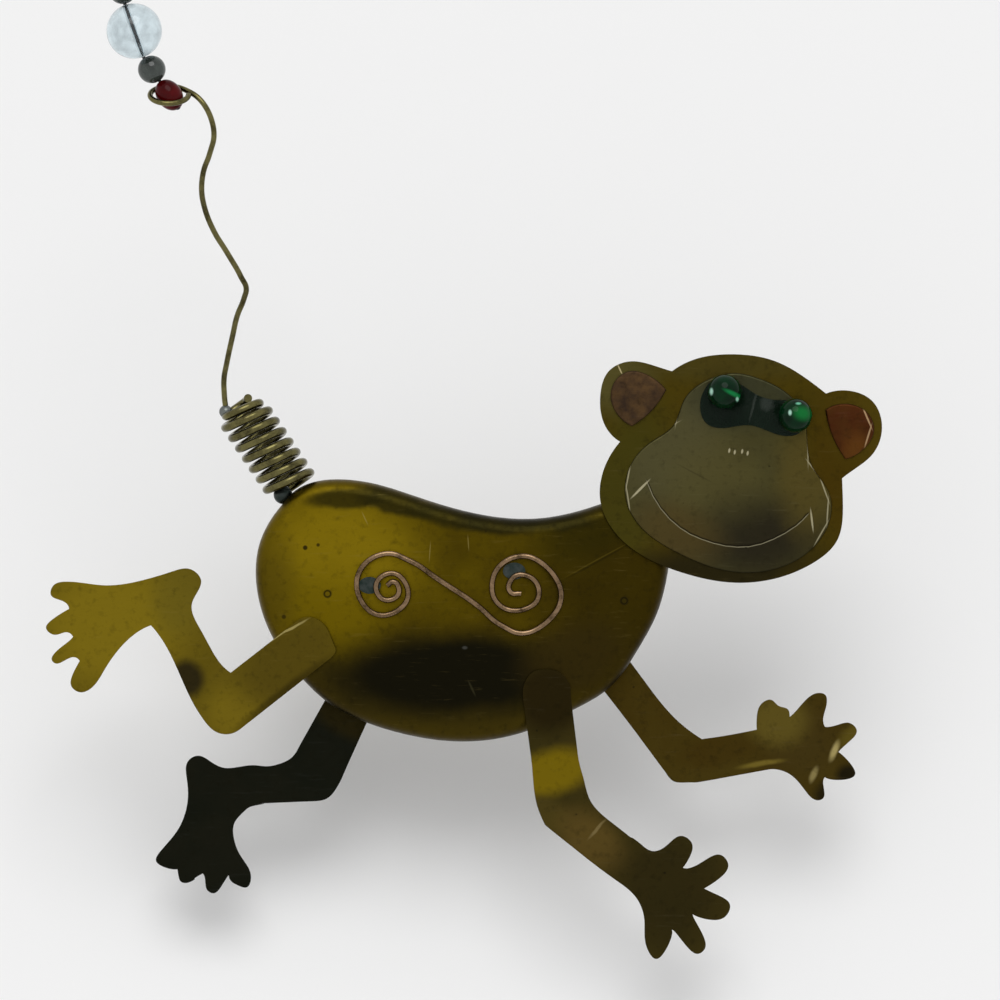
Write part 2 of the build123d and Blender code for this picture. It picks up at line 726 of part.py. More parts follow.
stretch = red_bead_height / red_bead_diameter
red_form = scale(Sphere(red_bead_diameter / 2), by=(1, 1, stretch))
knot_seat = Pos(0, 0, -red_bead_height / 2) * Cylinder(
    end_knot_diameter / 2 + 2 * running_gap, 2 * knot_seat_depth
)
red_bead = strung(red_form - knot_seat, Vector(0, 0, 0), upright)
lower_dark_bead = strung(Sphere(dark_bead_diameter / 2), Vector(0, 0, dark_rise), upright)
clear_bead = strung(Sphere(clear_bead_diameter / 2), clear_middle, clear_way)
upper_dark_bead = strung(Sphere(dark_bead_diameter / 2), upper_middle, upper_way)


def hang_loop_point(degrees):
    return hang_middle + leaning(90 - degrees) * loop_radius


def make_string():
    """The wire that strings the beads, from its end knot to the open loop at its top."""
    corners = [Vector(0, 0, knot_height), bend_one, bend_two, bend_three, bend_four]
    step = hang_loop_sweep / hang_loop_steps
    angles = [hang_loop_start + step * n for n in range(hang_loop_steps + 1)]
    points = [hang_loop_point(angle) for angle in angles]
    tangents = [leaning(-angle) for angle in angles]
    stem_top = bend_four + upright * string_bend_radius
    lower = FilletPolyline(*corners, stem_top, radius=string_bend_radius)
    upper = biarc(stem_top, upright, points[0], tangents[0]) + arc_path(points, tangents)
    wire = round_wire(lower.edges() + upper, string_wire_diameter)
    return wire + Pos(0, 0, knot_height) * Sphere(end_knot_diameter / 2)


bead_wire = make_string()


# Hang: weigh what swings, turn it about the red bead until it hangs straight, place all pieces

figure = {
    "body_front_shell": (near_shell, brass_gravity),
    "body_back_shell": (far_shell, brass_gravity),
    "head_plate": (head_plate, brass_gravity),
    "face_plate": (face_plate, nickel_silver_gravity),
    "left_ear_inlay": (left_ear, brass_gravity),
    "right_ear_inlay": (right_ear, brass_gravity),
    "left_eye_bead": (left_eye, glass_gravity),
    "right_eye_bead": (right_eye, glass_gravity),
    "eye_glue": (eye_glue, glue_gravity),
    "near_hind_leg": (near_hind_leg, brass_gravity),
    "far_hind_leg": (far_hind_leg, brass_gravity),
    "near_foreleg": (near_foreleg, brass_gravity),
    "far_foreleg": (far_foreleg, brass_gravity),
    "leg_solder": (leg_solder, nickel_silver_gravity),
    "neck_solder": (neck_solder, nickel_silver_gravity),
    "flank_scroll": (flank_scroll, brass_gravity),
    "scroll_solder": (scroll_solder, nickel_silver_gravity),
    "tail_coil": (tail_coil, brass_gravity),
    "coil_solder": (coil_solder, nickel_silver_gravity),
    "tail_wire": (tail_wire, brass_gravity),
    "tail_solder": (tail_solder, nickel_silver_gravity),
}
string = {
    "red_bead": red_bead,
    "lower_dark_bead": lower_dark_bead,
    "clear_bead": clear_bead,
    "upper_dark_bead": upper_dark_bead,
    "bead_wire": bead_wire,
}
moment = Vector(0, 0, 0)
weight = 0
for shape, gravity in figure.values():
    weight += shape.volume * gravity
    moment += shape.center(CenterOf.MASS) * (shape.volume * gravity)
balance = moment * (1 / weight) - pivot
hang_turn = math.degrees(math.atan2(balance.X, -balance.Z))
place_figure = Pos(*(-hang_middle)) * Rot(0, hang_turn, 0) * Pos(*(-pivot))
place_string = Pos(*(-hang_middle))

for name, (shape, gravity) in figure.items():
    export_step(place_figure * shape, f"parts/{name}.step")
for name, shape in string.items():
    export_step(place_string * shape, f"parts/{name}.step")


def hung(point):
    return (place_figure * Pos(*point)).position


print("hang turn, degrees", round(hang_turn, 3), "weight, grams", round(weight / 1000, 2))
print("red bead", -hang_middle, "clear bead", clear_middle - hang_middle)
print("upper dark bead", upper_middle - hang_middle, "lower dark bead", Vector(0, 0, dark_rise) - hang_middle)
print("middle of the coil", hung(coil_last + coil_axis * along_coil(coil_turns / 2)))
print("foot of the coil", hung(coil_foot), "balance point", hung(pivot + balance))
print("red bead in the level drawing", pivot)
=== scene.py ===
import json
import math

import bpy
from mathutils import Matrix, Vector

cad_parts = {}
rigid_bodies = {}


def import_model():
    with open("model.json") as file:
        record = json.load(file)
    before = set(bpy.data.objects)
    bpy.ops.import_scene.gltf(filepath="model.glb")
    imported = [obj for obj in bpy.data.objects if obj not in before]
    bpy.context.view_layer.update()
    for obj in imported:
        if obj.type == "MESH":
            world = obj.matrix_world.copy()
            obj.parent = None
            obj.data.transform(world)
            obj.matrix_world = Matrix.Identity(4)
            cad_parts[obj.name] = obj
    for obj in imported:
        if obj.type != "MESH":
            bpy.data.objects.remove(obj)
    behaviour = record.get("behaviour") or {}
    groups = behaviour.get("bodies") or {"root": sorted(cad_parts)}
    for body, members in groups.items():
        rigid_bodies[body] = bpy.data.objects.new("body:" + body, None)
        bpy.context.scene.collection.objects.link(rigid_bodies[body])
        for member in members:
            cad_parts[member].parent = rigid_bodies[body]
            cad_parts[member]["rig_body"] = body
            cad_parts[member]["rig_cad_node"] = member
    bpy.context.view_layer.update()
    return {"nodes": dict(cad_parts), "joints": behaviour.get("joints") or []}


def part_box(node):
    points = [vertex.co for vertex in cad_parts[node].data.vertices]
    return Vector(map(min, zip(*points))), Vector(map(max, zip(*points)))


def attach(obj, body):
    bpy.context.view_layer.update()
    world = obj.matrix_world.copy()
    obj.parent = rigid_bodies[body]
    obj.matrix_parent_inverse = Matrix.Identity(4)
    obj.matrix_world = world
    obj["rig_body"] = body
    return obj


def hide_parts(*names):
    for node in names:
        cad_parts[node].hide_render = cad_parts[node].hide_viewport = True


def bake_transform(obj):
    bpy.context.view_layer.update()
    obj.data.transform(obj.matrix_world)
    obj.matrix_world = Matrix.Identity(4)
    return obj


bl_info = {
    "name": "Hanging brass monkey",
    "version": (1, 0, 0),
    "blender": (4, 5, 0),
    "location": "3D View > Sidebar > Monkey",
    "description": "Dresses a sheet brass monkey that hangs from a string of beads",
    "category": "Add Mesh",
}

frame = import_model()
MM = 0.001

# The figure is described as it is drawn, level, in millimetres from the lower left corner of its
# body's box. It hangs turned by this many degrees about the middle of the red bead, which is given
# in the drawing and in the frame.
HANG_TURN = 34.468
RED_BEAD_DRAWN = (-12.4021, 92.6316)
RED_BEAD_HUNG = (0.0, -37.8135)

# Glass beads, in millimetres. The eye beads lie on their sides, their bores running down to the
# right by this many degrees in the level drawing.
CLEAR_BEAD_WIDTH = 8.0
DARK_BEAD_WIDTH = 4.0
RED_BEAD_WIDTH = 3.7
RED_BEAD_HEIGHT = 4.8
STRING_BORE = 0.7
EYE_BEAD_WIDTH = 4.9
EYE_BEAD_BORE = 1.4
EYE_BEAD_LEAN = 18

# Length at each end of the coil, in millimetres, by which the two points given with it lie inside
# its box
COIL_END = 2.0

# What the camera takes in, and the floor, in millimetres; places are x, z and y, towards the back,
# of the level drawing
PICTURE_WIDTH = 143.0
PICTURE_CENTRE = (35.035, 34.53, -5.0)
SENSOR_WIDTH = 36
FLOOR_PLACE = (35.0, -28.0, 13.0)
FLOOR_WIDTH = 3000.0

# Mending of a CAD skin: corners nearer than this many millimetres are one, and faces within this
# many degrees of each other are one flat face
MERGE_DISTANCE = 0.002
FLAT_ANGLE = 0.5


def hung(x, z, y):
    """A point of the level drawing, where it is on the hanging figure, in metres."""
    turn = math.radians(HANG_TURN)
    dx, dz = x - RED_BEAD_DRAWN[0], z - RED_BEAD_DRAWN[1]
    return Vector((
        dx * math.cos(turn) + dz * math.sin(turn) + RED_BEAD_HUNG[0],
        y,
        -dx * math.sin(turn) + dz * math.cos(turn) + RED_BEAD_HUNG[1],
    )) * MM


# The picture's upward, rightward and backward directions, in the frame
UP = Vector((math.sin(math.radians(HANG_TURN)), 0, math.cos(math.radians(HANG_TURN))))
RIGHT = Vector((math.cos(math.radians(HANG_TURN)), 0, -math.sin(math.radians(HANG_TURN))))
BACK = Vector((0, 1, 0))


class MonkeyColours(bpy.types.PropertyGroup):
    body_gold: bpy.props.FloatVectorProperty(
        name="Body brass", description="Main tone of the body's brass",
        default=(0.084, 0.057, 0.002), size=3, subtype="COLOR")
    brown_gold: bpy.props.FloatVectorProperty(
        name="Brown brass", description="Brass under brown tarnish, on the back",
        default=(0.046, 0.028, 0.003), size=3, subtype="COLOR")
    nickel: bpy.props.FloatVectorProperty(
        name="Nickel silver", description="Metal of the face plate",
        default=(0.060, 0.053, 0.017), size=3, subtype="COLOR")
    dull_copper: bpy.props.FloatVectorProperty(
        name="Dull copper", description="Left ear inlay",
        default=(0.084, 0.047, 0.020), size=3, subtype="COLOR")
    warm_copper: bpy.props.FloatVectorProperty(
        name="Warm copper", description="Right ear inlay",
        default=(0.055, 0.016, 0.005), size=3, subtype="COLOR")
    scroll_copper: bpy.props.FloatVectorProperty(
        name="Scroll wire", description="Copper wire of the double spiral",
        default=(0.230, 0.150, 0.085), size=3, subtype="COLOR")
    wire_gold: bpy.props.FloatVectorProperty(
        name="Tail wire", description="Brass wire of coil and tail",
        default=(0.135, 0.120, 0.045), size=3, subtype="COLOR")
    solder_grey: bpy.props.FloatVectorProperty(
        name="Solder", description="Soft solder",
        default=(0.016, 0.026, 0.022), size=3, subtype="COLOR")
    green_glass: bpy.props.FloatVectorProperty(
        name="Green glass", description="Eye beads",
        default=(0.0005, 0.022, 0.006), size=3, subtype="COLOR")
    red_glass: bpy.props.FloatVectorProperty(
        name="Red glass", description="Bead in the tail's eye",
        default=(0.085, 0.002, 0.003), size=3, subtype="COLOR")
    dark_glass: bpy.props.FloatVectorProperty(
        name="Dark glass", description="Small dark beads",
        default=(0.055, 0.070, 0.060), size=3, subtype="COLOR")
    clear_glass: bpy.props.FloatVectorProperty(
        name="Clear glass", description="Large clear bead",
        default=(0.76, 0.88, 0.93), size=3, subtype="COLOR")
    ground_white: bpy.props.FloatVectorProperty(
        name="Ground", description="Floor and background",
        default=(0.896, 0.896, 0.896), size=3, subtype="COLOR")


class MonkeySizes(bpy.types.PropertyGroup):
    edge_round: bpy.props.FloatProperty(
        name="Edge round", description="Rounding of the plates' cut edges, in metres",
        default=0.00009, min=0, unit="LENGTH")
    bore_round: bpy.props.FloatProperty(
        name="Bore round", description="Rounding at a bead's hole, in metres",
        default=0.00012, min=0, unit="LENGTH")
    glue_round: bpy.props.FloatProperty(
        name="Glue round", description="Rounding of the glue's edge, in metres",
        default=0.00012, min=0, unit="LENGTH")
    bead_segments: bpy.props.IntProperty(
        name="Bead segments", description="Sides of a bead round its hole", default=64, min=16)
    scratch_depth: bpy.props.FloatProperty(
        name="Scratch depth", description="Strength of the fine scratches' bump",
        default=0.25, min=0)
    camera_lens: bpy.props.FloatProperty(
        name="Lens", description="Focal length in millimetres", default=400, min=50)
    sun_strength: bpy.props.FloatProperty(
        name="Sun strength", description="Light of the sun on a sheet turned to it",
        default=0.94, min=0)
    sun_spread: bpy.props.FloatProperty(
        name="Sun spread", description="Width of the sun in the sky",
        default=math.radians(40), subtype="ANGLE")
    sky_strength: bpy.props.FloatProperty(
        name="Sky strength", description="Light that comes from all sides", default=0.72, min=0)
    floor_slope: bpy.props.FloatProperty(
        name="Floor slope", description="Angle of the floor from upright",
        default=math.radians(25), subtype="ANGLE")


def colours():
    return bpy.context.scene.monkey_colours


def sizes():
    return bpy.context.scene.monkey_sizes


# Materials

def cleared_tree(owner):
    """The node tree of a material or a world, emptied."""
    owner.use_nodes = True
    owner.node_tree.nodes.clear()
    return owner.node_tree


def new_material(name):
    """A material with one shader: the material, its node tree and the shader."""
    material = bpy.data.materials.new(name)
    tree = cleared_tree(material)
    shader = tree.nodes.new("ShaderNodeBsdfPrincipled")
    output = tree.nodes.new("ShaderNodeOutputMaterial")
    tree.links.new(shader.outputs["BSDF"], output.inputs["Surface"])
    return material, tree, shader


def shader_choice(tree, output_type, factor, first, second):
    """An output that shows the first shader where the factor is 0 and the second where it is 1."""
    mix = tree.nodes.new("ShaderNodeMixShader")
    output = tree.nodes.new(output_type)
    tree.links.new(factor, mix.inputs[0])
    tree.links.new(first.outputs[0], mix.inputs[1])
    tree.links.new(second.outputs[0], mix.inputs[2])
    tree.links.new(mix.outputs[0], output.inputs["Surface"])


def level_coordinates(tree):
    """Coordinates of the level drawing, in millimetres, that move with the piece."""
    turn = math.radians(HANG_TURN)
    x, z = RED_BEAD_HUNG
    place = (
        RED_BEAD_DRAWN[0] - (x * math.cos(turn) - z * math.sin(turn)),
        0,
        RED_BEAD_DRAWN[1] - (x * math.sin(turn) + z * math.cos(turn)),
    )
    coordinate = tree.nodes.new("ShaderNodeTexCoord")
    mapping = tree.nodes.new("ShaderNodeMapping")
    mapping.inputs["Location"].default_value = place
    mapping.inputs["Rotation"].default_value = (0, -turn, 0)
    mapping.inputs["Scale"].default_value = (1 / MM, 1 / MM, 1 / MM)
    tree.links.new(coordinate.outputs["Object"], mapping.inputs["Vector"])
    return mapping.outputs["Vector"]


def noise(tree, vector, scale, detail=4.0, roughness=0.6, stretch=(1, 1, 1), turn=0.0):
    """Noise in the level drawing, as a value and as a colour, scale in waves per millimetre."""
    mapping = tree.nodes.new("ShaderNodeMapping")
    mapping.inputs["Scale"].default_value = stretch
    mapping.inputs["Rotation"].default_value = (0, math.radians(turn), 0)
    tree.links.new(vector, mapping.inputs["Vector"])
    made = tree.nodes.new("ShaderNodeTexNoise")
    made.inputs["Scale"].default_value = scale
    made.inputs["Detail"].default_value = detail
    made.inputs["Roughness"].default_value = roughness
    tree.links.new(mapping.outputs["Vector"], made.inputs["Vector"])
    return made.outputs["Fac"], made.outputs["Color"]


def map_range(tree, value, low, high, to_low=0.0, to_high=1.0, smooth=False):
    """A value's stretch from low to high, laid over another stretch."""
    made = tree.nodes.new("ShaderNodeMapRange")
    made.interpolation_type = "SMOOTHSTEP" if smooth else "LINEAR"
    made.inputs["From Min"].default_value = low
    made.inputs["From Max"].default_value = high
    made.inputs["To Min"].default_value = to_low
    made.inputs["To Max"].default_value = to_high
    tree.links.new(value, made.inputs["Value"])
    return made.outputs["Result"]


def mixed(tree, factor, first, second):
    """Mix of two colours. Each of them, and the factor, may be a socket or a value."""
    made = tree.nodes.new("ShaderNodeMix")
    made.data_type = "RGBA"
    for socket, value in ((0, factor), (6, first), (7, second)):
        if hasattr(value, "links"):
            tree.links.new(value, made.inputs[socket])
        elif socket:
            made.inputs[socket].default_value = (*tuple(value)[:3], 1)
        else:
            made.inputs[socket].default_value = value
    return made.outputs[2]


def warped(tree, vector, amount, scale):
    """The coordinates pushed about by noise, so that no painted oval has a drawn edge."""
    _, push = noise(tree, vector, scale, detail=3.0)
    centred = tree.nodes.new("ShaderNodeVectorMath")
    centred.operation = "SUBTRACT"
    centred.inputs[1].default_value = (0.5, 0.5, 0.5)
    tree.links.new(push, centred.inputs[0])
    scaled = tree.nodes.new("ShaderNodeVectorMath")
    scaled.operation = "SCALE"
    scaled.inputs["Scale"].default_value = amount
    tree.links.new(centred.outputs[0], scaled.inputs[0])
    added = tree.nodes.new("ShaderNodeVectorMath")
    added.operation = "ADD"
    tree.links.new(vector, added.inputs[0])
    tree.links.new(scaled.outputs[0], added.inputs[1])
    return added.outputs[0]


# Depth of a painted oval in millimetres, far more than that of any piece
RIGHT_THROUGH = 1000


def oval_mask(tree, vector, x, z, half_width, half_height, lean, softness, strength):
    """A soft oval in the level drawing, which goes right through the piece."""
    mapping = tree.nodes.new("ShaderNodeMapping")
    mapping.vector_type = "TEXTURE"
    mapping.inputs["Location"].default_value = (x, 0, z)
    mapping.inputs["Rotation"].default_value = (0, math.radians(lean), 0)
    mapping.inputs["Scale"].default_value = (half_width, RIGHT_THROUGH, half_height)
    tree.links.new(vector, mapping.inputs["Vector"])
    length = tree.nodes.new("ShaderNodeVectorMath")
    length.operation = "LENGTH"
    tree.links.new(mapping.outputs["Vector"], length.inputs[0])
    return map_range(
        tree, length.outputs["Value"], 1 - softness, 1 + softness,
        to_low=strength, to_high=0.0, smooth=True,
    )


def painted(tree, vector, colour, light_and_stains):
    """The colour with each oval of a list laid over it in turn; the ovals hold painted light and
    shade as well as tarnish and marks.
    """
    for *oval, tone in light_and_stains:
        colour = mixed(tree, oval_mask(tree, vector, *oval), colour, tone)
    return colour


def bump(tree, height, strength, distance, under=None):
    """Normals of a bump, distance in metres, over those of another where one is given."""
    made = tree.nodes.new("ShaderNodeBump")
    made.inputs["Strength"].default_value = strength
    made.inputs["Distance"].default_value = distance
    tree.links.new(height, made.inputs["Height"])
    if under is not None:
        tree.links.new(under, made.inputs["Normal"])
    return made.outputs["Normal"]


def bright_of(tone, gain=2.4, lift=0.05):
    """The colour of a metal where it is worn bright."""
    return tuple(min(1.0, gain * c + lift) for c in tuple(tone)[:3])


def pits(tree, vector):
    """Where small round pits are, a few millimetres apart."""
    spots = tree.nodes.new("ShaderNodeTexVoronoi")
    spots.inputs["Scale"].default_value = 0.22
    spots.inputs["Randomness"].default_value = 1.0
    tree.links.new(vector, spots.inputs["Vector"])
    return map_range(tree, spots.outputs["Distance"], 0.02, 0.045, to_low=0.6, to_high=0.0)


BLACKENED = (0.006, 0.005, 0.002)
PIT_FLOOR = (0.006, 0.005, 0.003)


def metal(name, tone, other_tone, light_and_stains=(), marks=(), roughness=0.36, scale=0.10, warp=2.2):
    """Worn sheet metal: clouds between two tones, patches of painted light, shade and reflection
    with some tarnish at places of the drawing, fine scratches, pits and a bump from all of them.
    A patch is x, z, half width, half height, lean, softness, strength and colour, its edge pushed
    about by up to the warp; a mark is the same, but sharp, and some marks are painted highlights
    and painted shade."""
    material, tree, shader = new_material(name)
    level = level_coordinates(tree)
    pushed = warped(tree, level, warp, scale=0.16)
    cloud, _ = noise(tree, level, scale, detail=5.0)
    streak, _ = noise(tree, level, 1.6, detail=4.0, roughness=0.65, stretch=(0.12, 1, 1.4), turn=8)
    fine, _ = noise(tree, level, 5.0, detail=3.0, roughness=0.7, stretch=(0.10, 1, 1), turn=-35)
    mottle, _ = noise(tree, level, 0.9, detail=6.0, roughness=0.62)
    dent, _ = noise(tree, level, 0.22, detail=2.0, roughness=0.5)

    # Colour: clouds and patches of painted light and shade, darker mottling, brighter scratches,
    # then sharp marks, some of them painted highlights, and pits
    colour = mixed(tree, map_range(tree, cloud, 0.35, 0.68), tone, other_tone)
    colour = painted(tree, pushed, colour, light_and_stains)
    darker = mixed(tree, 0.55, colour, BLACKENED)
    colour = mixed(tree, map_range(tree, mottle, 0.52, 0.78, to_high=0.75), colour, darker)
    lighter = mixed(tree, 0.30, colour, bright_of(tone))
    colour = mixed(tree, map_range(tree, streak, 0.60, 0.82, to_high=0.5), colour, lighter)
    colour = painted(tree, level, colour, marks)
    colour = mixed(tree, pits(tree, pushed), colour, PIT_FLOOR)
    tree.links.new(colour, shader.inputs["Base Color"])

    # Polish: duller where the metal is mottled
    shader.inputs["Metallic"].default_value = 1.0
    rough = map_range(tree, mottle, 0.3, 0.8, roughness - 0.07, roughness + 0.16)
    tree.links.new(rough, shader.inputs["Roughness"])

    # Surface: fine scratches over shallow dents
    scratches = tree.nodes.new("ShaderNodeMath")
    scratches.operation = "ADD"
    tree.links.new(streak, scratches.inputs[0])
    tree.links.new(fine, scratches.inputs[1])
    dents = bump(tree, dent, strength=0.5, distance=0.25 * MM)
    worn = bump(tree, scratches.outputs[0], sizes().scratch_depth, 0.04 * MM, under=dents)
    tree.links.new(worn, shader.inputs["Normal"])
    return material


def wire_metal(name, tone, dark, roughness=0.25, scale=0.5):
    """Drawn wire: tarnish in patches and fine lines."""
    material, tree, shader = new_material(name)
    level = level_coordinates(tree)
    patch, _ = noise(tree, level, scale, detail=5.0, roughness=0.7)
    grain, _ = noise(tree, level, 6.0, detail=3.0, roughness=0.7)
    colour = mixed(tree, map_range(tree, patch, 0.42, 0.66), tone, dark)
    colour = mixed(tree, map_range(tree, grain, 0.5, 0.8, to_high=0.35), colour, bright_of(tone))
    tree.links.new(colour, shader.inputs["Base Color"])
    shader.inputs["Metallic"].default_value = 1.0
    rough = map_range(tree, patch, 0.3, 0.7, roughness - 0.06, roughness + 0.14)
    tree.links.new(rough, shader.inputs["Roughness"])
    grained = bump(tree, grain, strength=0.3, distance=0.03 * MM)
    tree.links.new(grained, shader.inputs["Normal"])
    return material


def set_glass(shader, clearness, shine, roughness, refraction):
    """How much light goes through, how much is thrown back, and how sharply and how bent."""
    shader.inputs["Transmission Weight"].default_value = clearness
    shader.inputs["Specular IOR Level"].default_value = shine
    shader.inputs["Roughness"].default_value = roughness
    shader.inputs["IOR"].default_value = refraction


# Brightness of the dark swirls in glass, as a share of its own
SWIRL_SHADE = 0.45


def glass(name, tone, roughness=0.03, refraction=1.5, clearness=1.0, shine=0.5, marks=()):
    """Pressed glass with swirls in it and painted highlights where it would gather the light."""
    material, tree, shader = new_material(name)
    level = level_coordinates(tree)
    swirl, _ = noise(tree, level, 0.55, detail=3.0, roughness=0.5)
    darker = tuple(SWIRL_SHADE * c for c in tuple(tone)[:3])
    colour = mixed(tree, map_range(tree, swirl, 0.35, 0.7), tone, darker)
    tree.links.new(painted(tree, level, colour, marks), shader.inputs["Base Color"])
    set_glass(shader, clearness, shine, roughness, refraction)
    swirled = bump(tree, swirl, strength=0.25, distance=0.1 * MM)
    tree.links.new(swirled, shader.inputs["Normal"])
    return material


def glue_smear(name, marks):
    """Clear glue gone cloudy, dark where the plate shows through it, with soft-edged painted
    sheens.
    """
    material, tree, shader = new_material(name)
    level = level_coordinates(tree)
    cloudy, _ = noise(tree, level, 0.5, detail=5.0)
    colour = mixed(tree, map_range(tree, cloudy, 0.35, 0.7), GLUE_DARK, GLUE_PALE)
    colour = painted(tree, warped(tree, level, 0.5, scale=0.8), colour, marks)
    tree.links.new(colour, shader.inputs["Base Color"])
    set_glass(shader, clearness=0.5, shine=0.12, roughness=0.12, refraction=1.2)
    uneven = bump(tree, cloudy, strength=0.6, distance=0.3 * MM)
    tree.links.new(uneven, shader.inputs["Normal"])
    return material


# Modelling

def turn_to(thing, quaternion):
    """An object, camera or lamp turned from upright as a quaternion says."""
    thing.rotation_mode = "QUATERNION"
    thing.rotation_quaternion = quaternion


def deselect_all():
    if bpy.context.object and bpy.context.object.mode != "OBJECT":
        bpy.ops.object.mode_set(mode="OBJECT")
    bpy.ops.object.select_all(action="DESELECT")


def select_only(piece):
    deselect_all()
    piece.select_set(True)
    bpy.context.view_layer.objects.active = piece


def copy_of_node(node, name):
    """A copy of a CAD node as one closed skin, at rest where the node is."""
    select_only(frame["nodes"][node])
    bpy.ops.object.duplicate()
    piece = bpy.context.object
    bpy.ops.object.parent_clear(type="CLEAR")
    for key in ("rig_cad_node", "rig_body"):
        if key in piece:
            del piece[key]
    piece.name = name
    piece.data.name = name
    bpy.ops.mesh.customdata_custom_splitnormals_clear()
    bpy.ops.object.mode_set(mode="EDIT")
    bpy.ops.mesh.select_all(action="SELECT")
    bpy.ops.mesh.remove_doubles(threshold=MERGE_DISTANCE * MM)
    bpy.ops.object.mode_set(mode="OBJECT")
    return piece


def bevel_edges(piece, width, segments, sharp):
    """Every edge that turns by more than this many degrees rounded."""
    bpy.ops.object.modifier_add(type="BEVEL")
    bevel = piece.modifiers[-1]
    bevel.width = width
    bevel.segments = segments
    bevel.limit_method = "ANGLE"
    bevel.angle_limit = math.radians(sharp)
    bpy.ops.object.modifier_apply(modifier=bevel.name)


def round_edges(piece, width, segments=2):
    """Flat faces made whole again, then every sharp edge rounded."""
    select_only(piece)
    bpy.ops.object.mode_set(mode="EDIT")
    bpy.ops.mesh.select_all(action="SELECT")
    bpy.ops.mesh.dissolve_limited(angle_limit=math.radians(FLAT_ANGLE))
    bpy.ops.object.mode_set(mode="OBJECT")
    bevel_edges(piece, width, segments, sharp=50)


def finish_piece(piece, body, material, node, smooth=35, flat=False):
    """Smooth shading up to an angle in degrees, large faces kept flat where asked, one material,
    its body where one is named, else the piece fixed where it stands, and its node hidden."""
    select_only(piece)
    bpy.ops.object.shade_smooth_by_angle(angle=math.radians(smooth))
    if flat:
        bpy.ops.object.modifier_add(type="WEIGHTED_NORMAL")
        piece.modifiers[-1].keep_sharp = True
        bpy.ops.object.modifier_apply(modifier=piece.modifiers[-1].name)
    piece.data.materials.clear()
    piece.data.materials.append(material)
    if isinstance(body, str):
        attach(piece, body)
    else:
        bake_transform(piece)
    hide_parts(node)


def dress(node, name, body, material, smooth=35):
    """A CAD node's own skin, finished."""
    piece = copy_of_node(node, name)
    finish_piece(piece, body, material, node, smooth)


def dress_plate(node, name, material, edge_round=0.0):
    """A flat plate of the monkey, finished, its cut edges rounded where asked."""
    piece = copy_of_node(node, name)
    if edge_round:
        round_edges(piece, edge_round)
    finish_piece(piece, "monkey", material, node, smooth=60, flat=True)


def bored_bead(name, centre, way, width, height, bore):
    """A bead with a hole through it: a ball, stretched to its height, whose poles are cut off and
    the two mouths bridged."""
    mouth = height / 2 * math.sqrt(1 - (bore / width) ** 2)
    deselect_all()
    bpy.ops.mesh.primitive_uv_sphere_add(
        segments=sizes().bead_segments, ring_count=sizes().bead_segments // 2, radius=width / 2
    )
    piece = bpy.context.object
    piece.name = name
    piece.data.name = name
    bpy.ops.object.mode_set(mode="EDIT")
    bpy.ops.transform.resize(value=(1, 1, height / width), center_override=(0, 0, 0))
    bpy.ops.mesh.select_all(action="DESELECT")
    bpy.ops.object.mode_set(mode="OBJECT")
    for vertex in piece.data.vertices:
        vertex.select = math.hypot(vertex.co.x, vertex.co.y) < bore / 2
    bpy.ops.object.mode_set(mode="EDIT")
    bpy.ops.mesh.select_mode(type="VERT")
    bpy.ops.mesh.delete(type="VERT")
    bpy.ops.mesh.select_all(action="DESELECT")
    bpy.ops.mesh.select_non_manifold()
    bpy.ops.object.mode_set(mode="OBJECT")
    for vertex in piece.data.vertices:
        if vertex.select:
            pull = bore / 2 / math.hypot(vertex.co.x, vertex.co.y)
            vertex.co.x *= pull
            vertex.co.y *= pull
            vertex.co.z = math.copysign(mouth, vertex.co.z)
    bpy.ops.object.mode_set(mode="EDIT")
    bpy.ops.mesh.bridge_edge_loops(number_cuts=4)
    bpy.ops.mesh.select_all(action="SELECT")
    bpy.ops.mesh.normals_make_consistent(inside=False)
    bpy.ops.object.mode_set(mode="OBJECT")
    bevel_edges(piece, sizes().bore_round, segments=3, sharp=40)
    turn_to(piece, Vector((0, 0, 1)).rotation_difference(Vector(way)))
    piece.location = centre
    bpy.ops.object.transform_apply(location=True, rotation=True, scale=True)
    return piece


def middle_of(node):
    """The middle of a CAD node's box."""
    low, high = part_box(node)
    return (low + high) / 2


# Half the length of a drawn line's mark, as a share of its stretch: over a half, so that they join
LINE_OVERLAP = 0.62
LINE_SOFTNESS = 0.35


def line_marks(points, half_width, strength, colour):
    """Marks that follow a drawn line from point to point."""
    marks = []
    for (x, z), (next_x, next_z) in zip(points, points[1:]):
        middle_x, middle_z = (x + next_x) / 2, (z + next_z) / 2
        half_length = math.hypot(next_x - x, next_z - z) * LINE_OVERLAP
        lean = math.degrees(math.atan2(z - next_z, next_x - x))
        marks.append(
            (middle_x, middle_z, half_length, half_width, lean, LINE_SOFTNESS, strength, colour)
        )
    return marks


# Tones that the panel leaves out. A shade is the second tone of a metal's clouds.

BODY_SHADE = (0.050, 0.033, 0.002)
HEAD_BRASS = (0.062, 0.043, 0.004)
HEAD_SHADE = (0.050, 0.034, 0.004)
FACE_SHADE = (0.050, 0.044, 0.016)
DULL_COPPER_SHADE = (0.036, 0.022, 0.014)
WARM_COPPER_SHADE = (0.060, 0.022, 0.006)
SCROLL_SHADE = (0.035, 0.022, 0.010)
TAIL_SHADE = (0.035, 0.030, 0.012)
SOLDER_SHADE = (0.050, 0.058, 0.055)
FRESH_SOLDER = (0.16, 0.17, 0.16)
FRESH_SOLDER_SHADE = (0.09, 0.10, 0.10)
STRING_IRON = (0.045, 0.045, 0.045)
STRING_SHADE = (0.015, 0.015, 0.015)
GLUE_DARK = (0.006, 0.016, 0.008)
GLUE_PALE = (0.012, 0.024, 0.014)
GLUE_SHEEN = (0.10, 0.12, 0.10)
